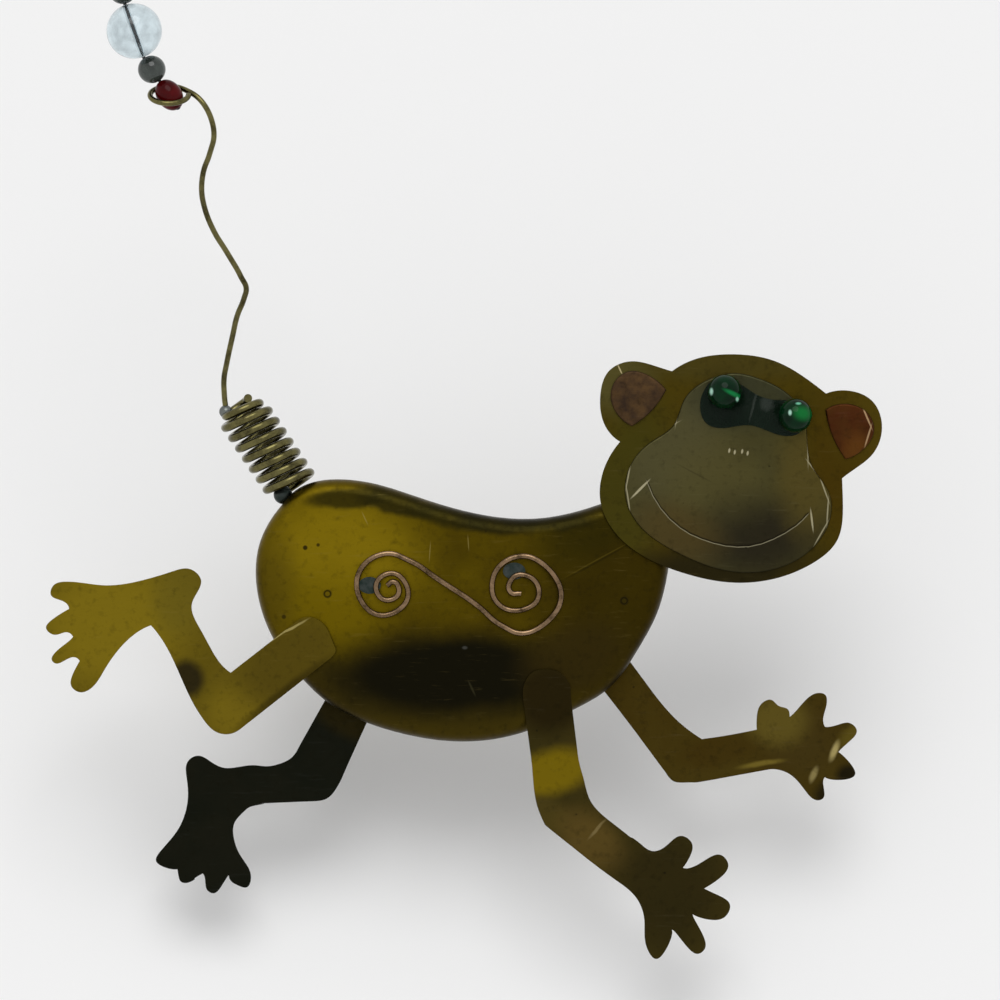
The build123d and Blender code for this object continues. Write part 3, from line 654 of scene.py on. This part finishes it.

# Painted light, shade and reflections of each plate, with some tarnish, at places of the level
# drawing: x, z, half width, half height, lean in degrees down to the right, softness, strength,
# colour

# Painted highlight where the upper left of the body is lit
PAINTED_GOLD_HIGHLIGHT = (0.190, 0.131, 0.004)
# Painted dark reflection along the top rim of the body
RIM_DARK_REFLECTION = (0.018, 0.015, 0.003)
# Painted dark reflection on the belly
BELLY_DARK_REFLECTION = (0.0075, 0.0065, 0.003)
LOW_BROWN = (0.046, 0.032, 0.004)

BODY_LIGHT_AND_STAINS = [
    (53.0, 20.0, 11.0, 15.0, 0, 0.55, 0.85, (0.027, 0.018, 0.002)),
    # Painted highlight over the body's upper left and left edge
    (12.0, 27.0, 11.0, 8.0, 8, 0.60, 0.95, PAINTED_GOLD_HIGHLIGHT),
    (9.5, 17.0, 8.5, 6.5, 0, 0.60, 0.75, (0.140, 0.096, 0.002)),
    (2.0, 20.0, 3.5, 10.0, 0, 0.60, 0.55, (0.070, 0.048, 0.004)),
    (28.0, 1.5, 26.0, 5.0, 0, 0.50, 0.90, LOW_BROWN),
    (12.0, 6.0, 9.0, 4.0, 42, 0.50, 0.70, (0.050, 0.035, 0.005)),
    # Painted dark reflection on the belly, running on to the right
    (27.9, 9.5, 19.0, 6.2, 0, 0.42, 1.00, BELLY_DARK_REFLECTION),
    (46.0, 12.0, 7.5, 5.0, -20, 0.50, 0.85, (0.030, 0.020, 0.004)),
    (48.0, 30.5, 8.0, 4.0, -20, 0.60, 0.75, (0.022, 0.017, 0.002)),
    # Painted dark reflection along the top rim
    (13.6, 34.9, 6.0, 1.5, -4, 0.35, 0.85, RIM_DARK_REFLECTION),
    (20.7, 34.0, 6.0, 1.5, 11, 0.35, 0.90, RIM_DARK_REFLECTION),
    (27.9, 32.1, 6.0, 1.5, 13, 0.35, 0.90, RIM_DARK_REFLECTION),
    (35.0, 31.3, 6.0, 1.5, 5, 0.35, 0.90, (0.014, 0.012, 0.003)),
    (42.0, 31.4, 6.0, 1.5, 0, 0.35, 0.85, (0.014, 0.012, 0.003)),
]
# The far shell takes the first four: the brown right side and the painted highlight of the upper
# left and left edge
BACK_LIGHT_AND_STAINS = BODY_LIGHT_AND_STAINS[:4]
SCRATCH = (0.30, 0.235, 0.07)
PIT = (0.012, 0.009, 0.003)
BODY_MARKS = [
    (10.35, 21.1, 0.60, 0.60, 0, 0.2, 0.8, PIT),
    (10.35, 21.1, 0.34, 0.34, 0, 0.2, 0.9, (0.120, 0.082, 0.003)),
    (52.8, 20.1, 0.60, 0.60, 0, 0.2, 0.8, PIT),
    (52.8, 20.1, 0.34, 0.34, 0, 0.2, 0.9, (0.034, 0.024, 0.003)),
    (7.15, 27.7, 0.33, 0.33, 0, 0.3, 0.9, PIT),
    (9.0, 28.1, 0.25, 0.25, 0, 0.3, 0.8, PIT),
    (4.1, 17.8, 0.30, 0.30, 0, 0.3, 0.7, PIT),
    (25.0, 27.1, 0.07, 1.3, 4, 0.5, 0.4, SCRATCH),
    (30.5, 28.4, 0.07, 1.0, -4, 0.5, 0.4, SCRATCH),
    (15.7, 31.9, 0.08, 0.9, -25, 0.5, 0.4, SCRATCH),
    (30.0, 13.4, 0.35, 0.22, 0, 0.5, 0.5, (0.08, 0.08, 0.07)),
    (31.0, 7.6, 0.14, 1.1, -25, 0.5, 0.4, (0.05, 0.045, 0.02)),
    # Painted shade in the crease by the neck, with a painted highlight along its edge
    *line_marks([(45.5, 23.8), (52.3, 27.5)], 0.16, 0.5, (0.016, 0.011, 0.002)),
    *line_marks([(45.5, 24.1), (52.3, 27.8)], 0.10, 0.3, (0.11, 0.08, 0.01)),
]
# Lighter and darker sides of the head plate, painted light and shade
HEAD_LIGHT_AND_STAINS = [
    (53.5, 36.0, 5.5, 12.0, 10, 0.5, 0.8, (0.048, 0.042, 0.006)),
    # Painted shade below the face plate
    (66.0, 24.5, 14.0, 4.0, -5, 0.5, 0.85, (0.013, 0.011, 0.005)),
    (84.0, 40.0, 4.5, 10.0, 0, 0.5, 0.8, (0.054, 0.032, 0.003)),
    (52.0, 52.0, 5.0, 5.0, 0, 0.5, 0.9, (0.080, 0.068, 0.019)),
    (87.5, 46.0, 5.0, 6.0, 0, 0.5, 0.7, (0.070, 0.048, 0.005)),
    (67.0, 54.5, 12.0, 3.0, 0, 0.5, 0.8, (0.058, 0.045, 0.009)),
]
HEAD_MARKS = [(52.2, 53.2, 0.10, 0.8, -25, 0.4, 0.8, (0.50, 0.42, 0.22))]
# Lighter at the left and darker low on the right, painted light and shade; grey-green by the eyes,
# discoloured metal
FACE_LIGHT_AND_STAINS = [
    (59.5, 43.0, 7.0, 9.0, 20, 0.6, 0.9, (0.074, 0.066, 0.027)),
    (66.0, 36.5, 7.0, 6.0, 0, 0.6, 0.6, (0.080, 0.068, 0.022)),
    (72.5, 29.0, 9.0, 5.5, -8, 0.75, 0.90, (0.018, 0.015, 0.009)),
    (79.0, 38.0, 4.0, 8.0, 0, 0.6, 0.8, (0.082, 0.061, 0.014)),
    (60.0, 30.0, 6.0, 4.0, 20, 0.6, 0.7, (0.068, 0.046, 0.014)),
    (71.0, 49.5, 9.0, 4.5, 0, 0.5, 0.6, (0.028, 0.032, 0.020)),
]
# The groove of the smile, as it is cut in the plate
SMILE = [
    (56.06, 37.26), (56.9, 35.25), (58.0, 33.47), (59.3, 31.95), (60.8, 30.67), (62.25, 29.75),
    (63.8, 29.08), (65.5, 28.5), (67.24, 28.10), (69.0, 27.93), (70.7, 27.99), (72.5, 28.4),
    (74.2, 29.08), (75.85, 29.93), (77.4, 30.96), (78.3, 31.75), (79.13, 32.64),
]
# Lit sides of the two nostril rings
NOSTRIL_GLINTS = ((67.84, 41.60), (68.62, 41.38), (69.68, 41.48), (70.46, 41.22))
# Ticks that end the smile
LEFT_TICK = [(54.1, 35.1), (56.1, 37.1)]
RIGHT_TICK = [(79.5, 32.9), (79.8, 30.4)]
# Edge of the face plate where it catches the light
LEFT_EDGE = [
    (63.0, 52.1), (60.9, 49.3), (60.2, 45.5), (56.6, 43.5), (53.8, 40.3), (53.1, 36.4),
    (53.6, 33.1),
]
RIGHT_EDGE = [(79.0, 45.0), (79.1, 40.0), (80.8, 37.8), (82.0, 34.5), (81.8, 31.2), (80.2, 28.4)]
GROOVE = (0.010, 0.008, 0.004)
GLINT = (0.42, 0.38, 0.24)
FACE_MARKS = [
    (63.0, 38.3, 2.6, 0.10, 28, 0.6, 0.4, (0.03, 0.024, 0.010)),
    *line_marks(SMILE, 0.17, 0.7, GROOVE),
    *line_marks([(x, z - 0.14) for x, z in SMILE], 0.07, 0.45, GLINT),
    *((x, z, 0.14, 0.32, 10, 0.35, 0.9, GLINT) for x, z in NOSTRIL_GLINTS),
    *line_marks(LEFT_TICK, 0.16, 0.9, GLINT),
    *line_marks(LEFT_EDGE, 0.10, 0.60, GLINT),
    *line_marks(RIGHT_EDGE, 0.10, 0.60, GLINT),
    *line_marks(RIGHT_TICK, 0.13, 0.8, GLINT),
]
# Painted highlight low on the right ear's copper, and a painted glint along its right edge
WARM_EAR_HIGHLIGHT = [(86.3, 41.5, 2.0, 2.5, 0, 0.6, 0.8, (0.105, 0.040, 0.008))]
WARM_EAR_EDGE = [(87.0, 47.6), (88.1, 45.0), (87.3, 42.4)]
WARM_EAR_GLINT = line_marks(WARM_EAR_EDGE, 0.12, 0.7, (0.45, 0.30, 0.16))
# Painted sheens on the glue's ridges
GLUE_PAINTED_SHEENS = [
    (71.3, 48.3, 0.16, 2.3, 14, 0.5, 0.5, GLUE_SHEEN),
    (73.2, 48.3, 0.9, 0.9, 0, 0.5, 0.5, GLUE_SHEEN),
]
# Painted light in the eye beads: bright green where they gather the light, and white glints
EYE_PAINTED_GLINTS = [
    (68.5, 49.6, 1.5, 0.30, 25, 0.6, 0.9, (0.004, 0.200, 0.050)),
    (65.2, 50.0, 0.22, 0.45, 0, 0.6, 0.9, (0.45, 0.75, 0.60)),
    (68.9, 48.9, 0.20, 0.30, 0, 0.6, 0.9, (0.40, 0.80, 0.60)),
    (78.2, 46.9, 1.2, 0.90, 15, 0.7, 0.9, (0.004, 0.160, 0.030)),
    (76.4, 47.0, 0.22, 0.35, 0, 0.6, 0.9, (0.45, 0.75, 0.60)),
    (77.6, 48.3, 0.35, 0.16, 0, 0.6, 0.8, (0.20, 0.60, 0.40)),
]
# Painted reflections on the near hind leg: bright foot and thigh, and a dark patch on the shin
NEAR_HIND_LIGHT_AND_STAINS = [
    (-20.5, 17.0, 10.0, 9.0, 0, 0.5, 0.9, (0.192, 0.137, 0.008)),
    (-10.5, 20.5, 4.0, 5.0, 0, 0.5, 0.7, (0.130, 0.098, 0.010)),
    (-9.8, 9.0, 2.3, 2.6, -20, 0.4, 0.95, (0.020, 0.015, 0.006)),
    (-2.5, 4.0, 4.5, 4.0, 0, 0.5, 0.8, (0.165, 0.117, 0.008)),
    (5.0, 11.5, 8.0, 5.5, -38, 0.45, 0.9, (0.080, 0.056, 0.006)),
    (4.0, 6.7, 8.0, 0.9, -38, 0.5, 0.6, (0.020, 0.014, 0.003)),
    # Painted highlight along the root's upper edge
    *line_marks([(2.6, 14.6), (6.7, 17.3)], 0.16, 0.7, (0.40, 0.33, 0.12)),
]
FAR_HIND_STAINS = [
    (13.5, 3.2, 6.0, 2.6, 28, 0.5, 0.85, (0.020, 0.015, 0.004)),
]
# Painted light and shade of the near foreleg: a bright band on the arm and darker patches
NEAR_FORE_LIGHT_AND_STAINS = [
    (42.4, -4.4, 6.0, 3.0, -16, 0.40, 0.90, (0.170, 0.118, 0.004)),
    (42.0, 6.2, 5.0, 5.0, 0, 0.4, 0.85, (0.015, 0.010, 0.003)),
    (41.8, -10.5, 3.2, 2.2, 30, 0.5, 0.7, (0.070, 0.050, 0.010)),
    (48.2, -14.2, 5.5, 3.2, 42, 0.5, 0.9, (0.090, 0.058, 0.013)),
    # Painted highlight along a crease
    (48.9, -12.4, 1.7, 0.22, -50, 0.5, 0.7, (0.200, 0.150, 0.060)),
    (59.0, -21.0, 8.0, 8.0, 0, 0.5, 0.7, (0.021, 0.016, 0.005)),
]
FAR_FORE_LIGHT_AND_STAINS = [
    (66.5, -1.5, 5.0, 2.2, -10, 0.5, 0.7, (0.045, 0.027, 0.004)),
    (78.0, 0.0, 5.0, 5.0, 0, 0.6, 0.6, (0.050, 0.034, 0.008)),
    (75.0, 2.6, 4.0, 3.5, 0, 0.5, 0.75, (0.115, 0.085, 0.014)),
    # Painted highlights on the wrist and the finger bases, and painted shade at the finger tips
    (72.6, -3.4, 2.8, 0.35, -8, 0.6, 0.8, (0.170, 0.125, 0.020)),
    (83.0, -1.4, 0.45, 1.3, 25, 0.6, 0.8, (0.420, 0.340, 0.130)),
    (80.1, -4.8, 0.40, 1.1, 25, 0.6, 0.7, (0.300, 0.240, 0.090)),
    (82.5, -8.0, 2.2, 2.0, 20, 0.5, 0.9, (0.012, 0.009, 0.004)),
    (86.0, 0.6, 2.4, 1.4, -30, 0.5, 0.6, (0.120, 0.090, 0.012)),
    (85.0, -5.0, 1.6, 1.6, 0, 0.5, 0.9, (0.010, 0.008, 0.004)),
]
# Node, name, tone, shade, and patches of painted light and tarnish, of each leg
LEGS = [
    ("near_hind_leg", "near_hind", (0.115, 0.082, 0.007), (0.098, 0.070, 0.005), NEAR_HIND_LIGHT_AND_STAINS),
    ("far_hind_leg", "far_hind", (0.0070, 0.0080, 0.005), (0.010, 0.010, 0.006), FAR_HIND_STAINS),
    ("near_foreleg", "near_fore", (0.034, 0.026, 0.006), (0.044, 0.032, 0.007), NEAR_FORE_LIGHT_AND_STAINS),
    ("far_foreleg", "far_fore", (0.046, 0.029, 0.004), (0.056, 0.038, 0.006), FAR_FORE_LIGHT_AND_STAINS),
]


class MESH_OT_monkey_body(bpy.types.Operator):
    """The two pressed shells of the body"""
    bl_idname = "mesh.monkey_body"
    bl_label = "Body shells"

    def execute(self, context):
        gold, brown = colours().body_gold, colours().brown_gold
        near = metal("body_brass", gold, BODY_SHADE, BODY_LIGHT_AND_STAINS, BODY_MARKS)
        dress("body_front_shell", "near_shell", "monkey", near, smooth=30)
        far = metal("back_brass", gold, brown, BACK_LIGHT_AND_STAINS)
        dress("body_back_shell", "far_shell", "monkey", far, smooth=30)
        return {"FINISHED"}


class MESH_OT_monkey_head(bpy.types.Operator):
    """Head plate, face plate and copper ear inlays"""
    bl_idname = "mesh.monkey_head"
    bl_label = "Head"

    def execute(self, context):
        tones = colours()
        brass = metal("head_brass", HEAD_BRASS, HEAD_SHADE, HEAD_LIGHT_AND_STAINS, HEAD_MARKS)
        dress_plate("head_plate", "head", brass, sizes().edge_round)
        nickel = metal(
            "face_nickel", tones.nickel, FACE_SHADE, FACE_LIGHT_AND_STAINS, FACE_MARKS,
            roughness=0.34, scale=0.2,
        )
        dress_plate("face_plate", "face", nickel)
        dull = metal(
            "ear_copper_dull", tones.dull_copper, DULL_COPPER_SHADE, roughness=0.55, scale=0.6
        )
        dress("left_ear_inlay", "left_ear", "monkey", dull)
        warm = metal(
            "ear_copper_warm", tones.warm_copper, WARM_COPPER_SHADE,
            WARM_EAR_HIGHLIGHT, WARM_EAR_GLINT, roughness=0.42, scale=0.5,
        )
        dress("right_ear_inlay", "right_ear", "monkey", warm)
        return {"FINISHED"}


class MESH_OT_monkey_eyes(bpy.types.Operator):
    """Two green glass beads on their sides in clear glue"""
    bl_idname = "mesh.monkey_eyes"
    bl_label = "Eyes"

    def execute(self, context):
        green = glass(
            "eye_glass", colours().green_glass, roughness=0.02, refraction=1.25, clearness=0.05,
            shine=0.3, marks=EYE_PAINTED_GLINTS,
        )
        turn = math.radians(90 + EYE_BEAD_LEAN + HANG_TURN)
        way = Vector((math.sin(turn), 0, math.cos(turn)))
        width = EYE_BEAD_WIDTH * MM
        for node, name in (("left_eye_bead", "left_eye"), ("right_eye_bead", "right_eye")):
            eye = bored_bead(name, middle_of(node), way, width, width, EYE_BEAD_BORE * MM)
            finish_piece(eye, "monkey", green, node)
        clear = glue_smear("clear_glue", GLUE_PAINTED_SHEENS)
        glue = copy_of_node("eye_glue", "glue")
        round_edges(glue, sizes().glue_round, segments=3)
        finish_piece(glue, "monkey", clear, "eye_glue")
        return {"FINISHED"}


class MESH_OT_monkey_legs(bpy.types.Operator):
    """Four legs, each cut from one plate"""
    bl_idname = "mesh.monkey_legs"
    bl_label = "Legs"

    def execute(self, context):
        for node, name, tone, shade, light_and_stains in LEGS:
            brass = metal(name + "_brass", tone, shade, light_and_stains, scale=0.12, warp=1.2)
            dress_plate(node, name, brass, sizes().edge_round)
        return {"FINISHED"}


class MESH_OT_monkey_solder(bpy.types.Operator):
    """Solder under the plates, in the spirals and at the coil"""
    bl_idname = "mesh.monkey_solder"
    bl_label = "Solder"

    def execute(self, context):
        grey = metal(
            "solder_grey", colours().solder_grey, SOLDER_SHADE, roughness=0.40, scale=0.7, warp=0.6
        )
        bright = metal(
            "solder_bright", FRESH_SOLDER, FRESH_SOLDER_SHADE, roughness=0.30, scale=0.9, warp=0.6
        )
        for node, name, body, material in (
            ("leg_solder", "leg_solder_pads", "monkey", grey),
            ("neck_solder", "neck_solder_pad", "monkey", grey),
            ("scroll_solder", "spiral_pools", "monkey", grey),
            ("coil_solder", "rump_solder", "monkey", grey),
            ("tail_solder", "tail_solder_blob", "tail", bright),
        ):
            dress(node, name, body, material, smooth=50)
        return {"FINISHED"}


class MESH_OT_monkey_scroll(bpy.types.Operator):
    """The copper wire wound into two spirals"""
    bl_idname = "mesh.monkey_scroll"
    bl_label = "Scroll"

    def execute(self, context):
        copper = wire_metal(
            "scroll_copper", colours().scroll_copper, SCROLL_SHADE, roughness=0.14, scale=0.35
        )
        dress("flank_scroll", "scroll", "monkey", copper, smooth=60)
        return {"FINISHED"}


class MESH_OT_monkey_tail(bpy.types.Operator):
    """The coil at the rump and the tail wire with its eye"""
    bl_idname = "mesh.monkey_tail"
    bl_label = "Coil and tail"

    def execute(self, context):
        gold = colours().wire_gold
        brass = wire_metal("tail_brass", gold, TAIL_SHADE, roughness=0.16, scale=0.35)
        low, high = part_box("tail_coil")
        middle = (low + high) / 2
        top = Vector((middle.x, 0, high.z - COIL_END * MM))
        foot = Vector((middle.x, 0, low.z + COIL_END * MM))
        dress("tail_coil", "coil", ("tail", "monkey", top, foot), brass, smooth=60)
        dress("tail_wire", "tail", "tail", brass, smooth=60)
        return {"FINISHED"}


class MESH_OT_monkey_beads(bpy.types.Operator):
    """The beads of the string"""
    bl_idname = "mesh.monkey_beads"
    bl_label = "Beads"

    def execute(self, context):
        tones = colours()
        red = glass("red_glass", tones.red_glass, refraction=1.25, clearness=0.05, shine=0.3)
        dark = glass("dark_glass", tones.dark_glass, roughness=0.05, clearness=0.35)
        clear = glass("clear_glass", tones.clear_glass, roughness=0.01)
        axes = {joint["child"]: joint["axis"] for joint in frame["joints"]}
        bore = STRING_BORE * MM
        for node, name, body, size, material in (
            ("clear_bead", "clear_bead_glass", "clear", CLEAR_BEAD_WIDTH * MM, clear),
            ("lower_dark_bead", "lower_dark_glass", "lower_dark", DARK_BEAD_WIDTH * MM, dark),
            ("upper_dark_bead", "upper_dark_glass", "upper_dark", DARK_BEAD_WIDTH * MM, dark),
        ):
            bead = bored_bead(name, middle_of(node), axes[body], size, size, bore)
            finish_piece(bead, body, material, node)
        place, upright = (0, 0, RED_BEAD_HUNG[1] * MM), (0, 0, 1)
        size = RED_BEAD_WIDTH * MM, RED_BEAD_HEIGHT * MM
        bead = bored_bead("red_bead_glass", place, upright, *size, bore)
        finish_piece(bead, "red", red, "red_bead")
        return {"FINISHED"}


class MESH_OT_monkey_string(bpy.types.Operator):
    """The dark wire that strings the beads"""
    bl_idname = "mesh.monkey_string"
    bl_label = "String"

    def execute(self, context):
        iron = wire_metal("dark_wire", STRING_IRON, STRING_SHADE, roughness=0.35, scale=0.6)
        dress("bead_wire", "string_wire", "strand", iron, smooth=60)
        return {"FINISHED"}


class SCENE_OT_monkey_stage(bpy.types.Operator):
    """Floor, sun, background and camera"""
    bl_idname = "scene.monkey_stage"
    bl_label = "Stage"

    def execute(self, context):
        scene = context.scene
        scene.view_settings.view_transform = "Standard"
        centre = hung(*PICTURE_CENTRE)
        self.camera(scene, centre)
        self.world(scene)
        self.floor()
        self.sun(centre)
        return {"FINISHED"}

    def camera(self, scene, centre):
        """A long lens straight in front of the figure, rolled so that its back is level."""
        deselect_all()
        bpy.ops.object.camera_add()
        camera = bpy.context.object
        camera.name = "main_camera"
        camera.data.lens = sizes().camera_lens
        camera.data.sensor_width = SENSOR_WIDTH
        away = PICTURE_WIDTH * MM * camera.data.lens / camera.data.sensor_width
        turn_to(camera, Matrix((RIGHT, UP, -BACK)).transposed().to_quaternion())
        camera.location = centre - BACK * away
        camera.data.clip_start = 0.1
        camera.data.clip_end = 20
        scene.camera = camera

    def world(self, scene):
        """A pale room for rays that are looked along, and an even sky for the light."""
        world = bpy.data.worlds.new("pale_room")
        scene.world = world
        tree = cleared_tree(world)
        path = tree.nodes.new("ShaderNodeLightPath")
        seen = path.outputs["Is Camera Ray"]
        for ray in ("Is Glossy Ray", "Is Transmission Ray"):
            either = tree.nodes.new("ShaderNodeMath")
            either.operation = "MAXIMUM"
            tree.links.new(seen, either.inputs[0])
            tree.links.new(path.outputs[ray], either.inputs[1])
            seen = either.outputs[0]
        room = tree.nodes.new("ShaderNodeBackground")
        room.inputs["Color"].default_value = (*colours().ground_white, 1)
        sky = tree.nodes.new("ShaderNodeBackground")
        sky.inputs["Color"].default_value = (1, 1, 1, 1)
        sky.inputs["Strength"].default_value = sizes().sky_strength
        shader_choice(tree, "ShaderNodeOutputWorld", seen, sky, room)

    def floor(self):
        """A pale floor that rises behind the figure, seen only from its upper side."""
        slope = sizes().floor_slope
        along = UP * math.cos(slope) + BACK * math.sin(slope)
        deselect_all()
        bpy.ops.mesh.primitive_plane_add(size=FLOOR_WIDTH * MM)
        floor = bpy.context.object
        floor.name = "pale_floor"
        turn_to(floor, Matrix((RIGHT, along, RIGHT.cross(along))).transposed().to_quaternion())
        floor.location = hung(*FLOOR_PLACE)
        bpy.ops.object.transform_apply(location=True, rotation=True, scale=True)
        material = bpy.data.materials.new("pale_paper")
        tree = cleared_tree(material)
        paper = tree.nodes.new("ShaderNodeBsdfDiffuse")
        paper.inputs["Color"].default_value = (*colours().ground_white, 1)
        clear = tree.nodes.new("ShaderNodeBsdfTransparent")
        side = tree.nodes.new("ShaderNodeNewGeometry").outputs["Backfacing"]
        shader_choice(tree, "ShaderNodeOutputMaterial", side, paper, clear)
        floor.data.materials.append(material)

    def sun(self, centre):
        """One wide soft sun from above and in front; with the sky it lights the floor to white."""
        deselect_all()
        bpy.ops.object.light_add(type="SUN")
        sun = bpy.context.object
        sun.name = "soft_sun"
        sun.data.energy = sizes().sun_strength
        sun.data.angle = sizes().sun_spread
        turn_to(sun, (BACK - UP).to_track_quat("-Z", "Y"))
        sun.location = centre + UP - BACK


class VIEW3D_PT_monkey(bpy.types.Panel):
    """Every size and colour, and a button for each group of pieces"""
    bl_label = "Hanging brass monkey"
    bl_idname = "VIEW3D_PT_monkey"
    bl_space_type = "VIEW_3D"
    bl_region_type = "UI"
    bl_category = "Monkey"

    def draw(self, context):
        layout = self.layout
        for group in (context.scene.monkey_sizes, context.scene.monkey_colours):
            for key in group.bl_rna.properties.keys():
                if key not in ("rna_type", "name"):
                    layout.prop(group, key)
        for operator in OPERATORS:
            layout.operator(operator.bl_idname)


OPERATORS = (
    SCENE_OT_monkey_stage,
    MESH_OT_monkey_body,
    MESH_OT_monkey_head,
    MESH_OT_monkey_eyes,
    MESH_OT_monkey_legs,
    MESH_OT_monkey_solder,
    MESH_OT_monkey_scroll,
    MESH_OT_monkey_tail,
    MESH_OT_monkey_beads,
    MESH_OT_monkey_string,
)
CLASSES = (MonkeyColours, MonkeySizes, *OPERATORS, VIEW3D_PT_monkey)


def register():
    for made in CLASSES:
        bpy.utils.register_class(made)
    bpy.types.Scene.monkey_colours = bpy.props.PointerProperty(type=MonkeyColours)
    bpy.types.Scene.monkey_sizes = bpy.props.PointerProperty(type=MonkeySizes)


def unregister():
    del bpy.types.Scene.monkey_sizes
    del bpy.types.Scene.monkey_colours
    for made in reversed(CLASSES):
        bpy.utils.unregister_class(made)


def main():
    register()
    bpy.ops.scene.monkey_stage()
    bpy.ops.mesh.monkey_body()
    bpy.ops.mesh.monkey_head()
    bpy.ops.mesh.monkey_eyes()
    bpy.ops.mesh.monkey_legs()
    bpy.ops.mesh.monkey_solder()
    bpy.ops.mesh.monkey_scroll()
    bpy.ops.mesh.monkey_tail()
    bpy.ops.mesh.monkey_beads()
    bpy.ops.mesh.monkey_string()


if __name__ == "__main__":
    main()
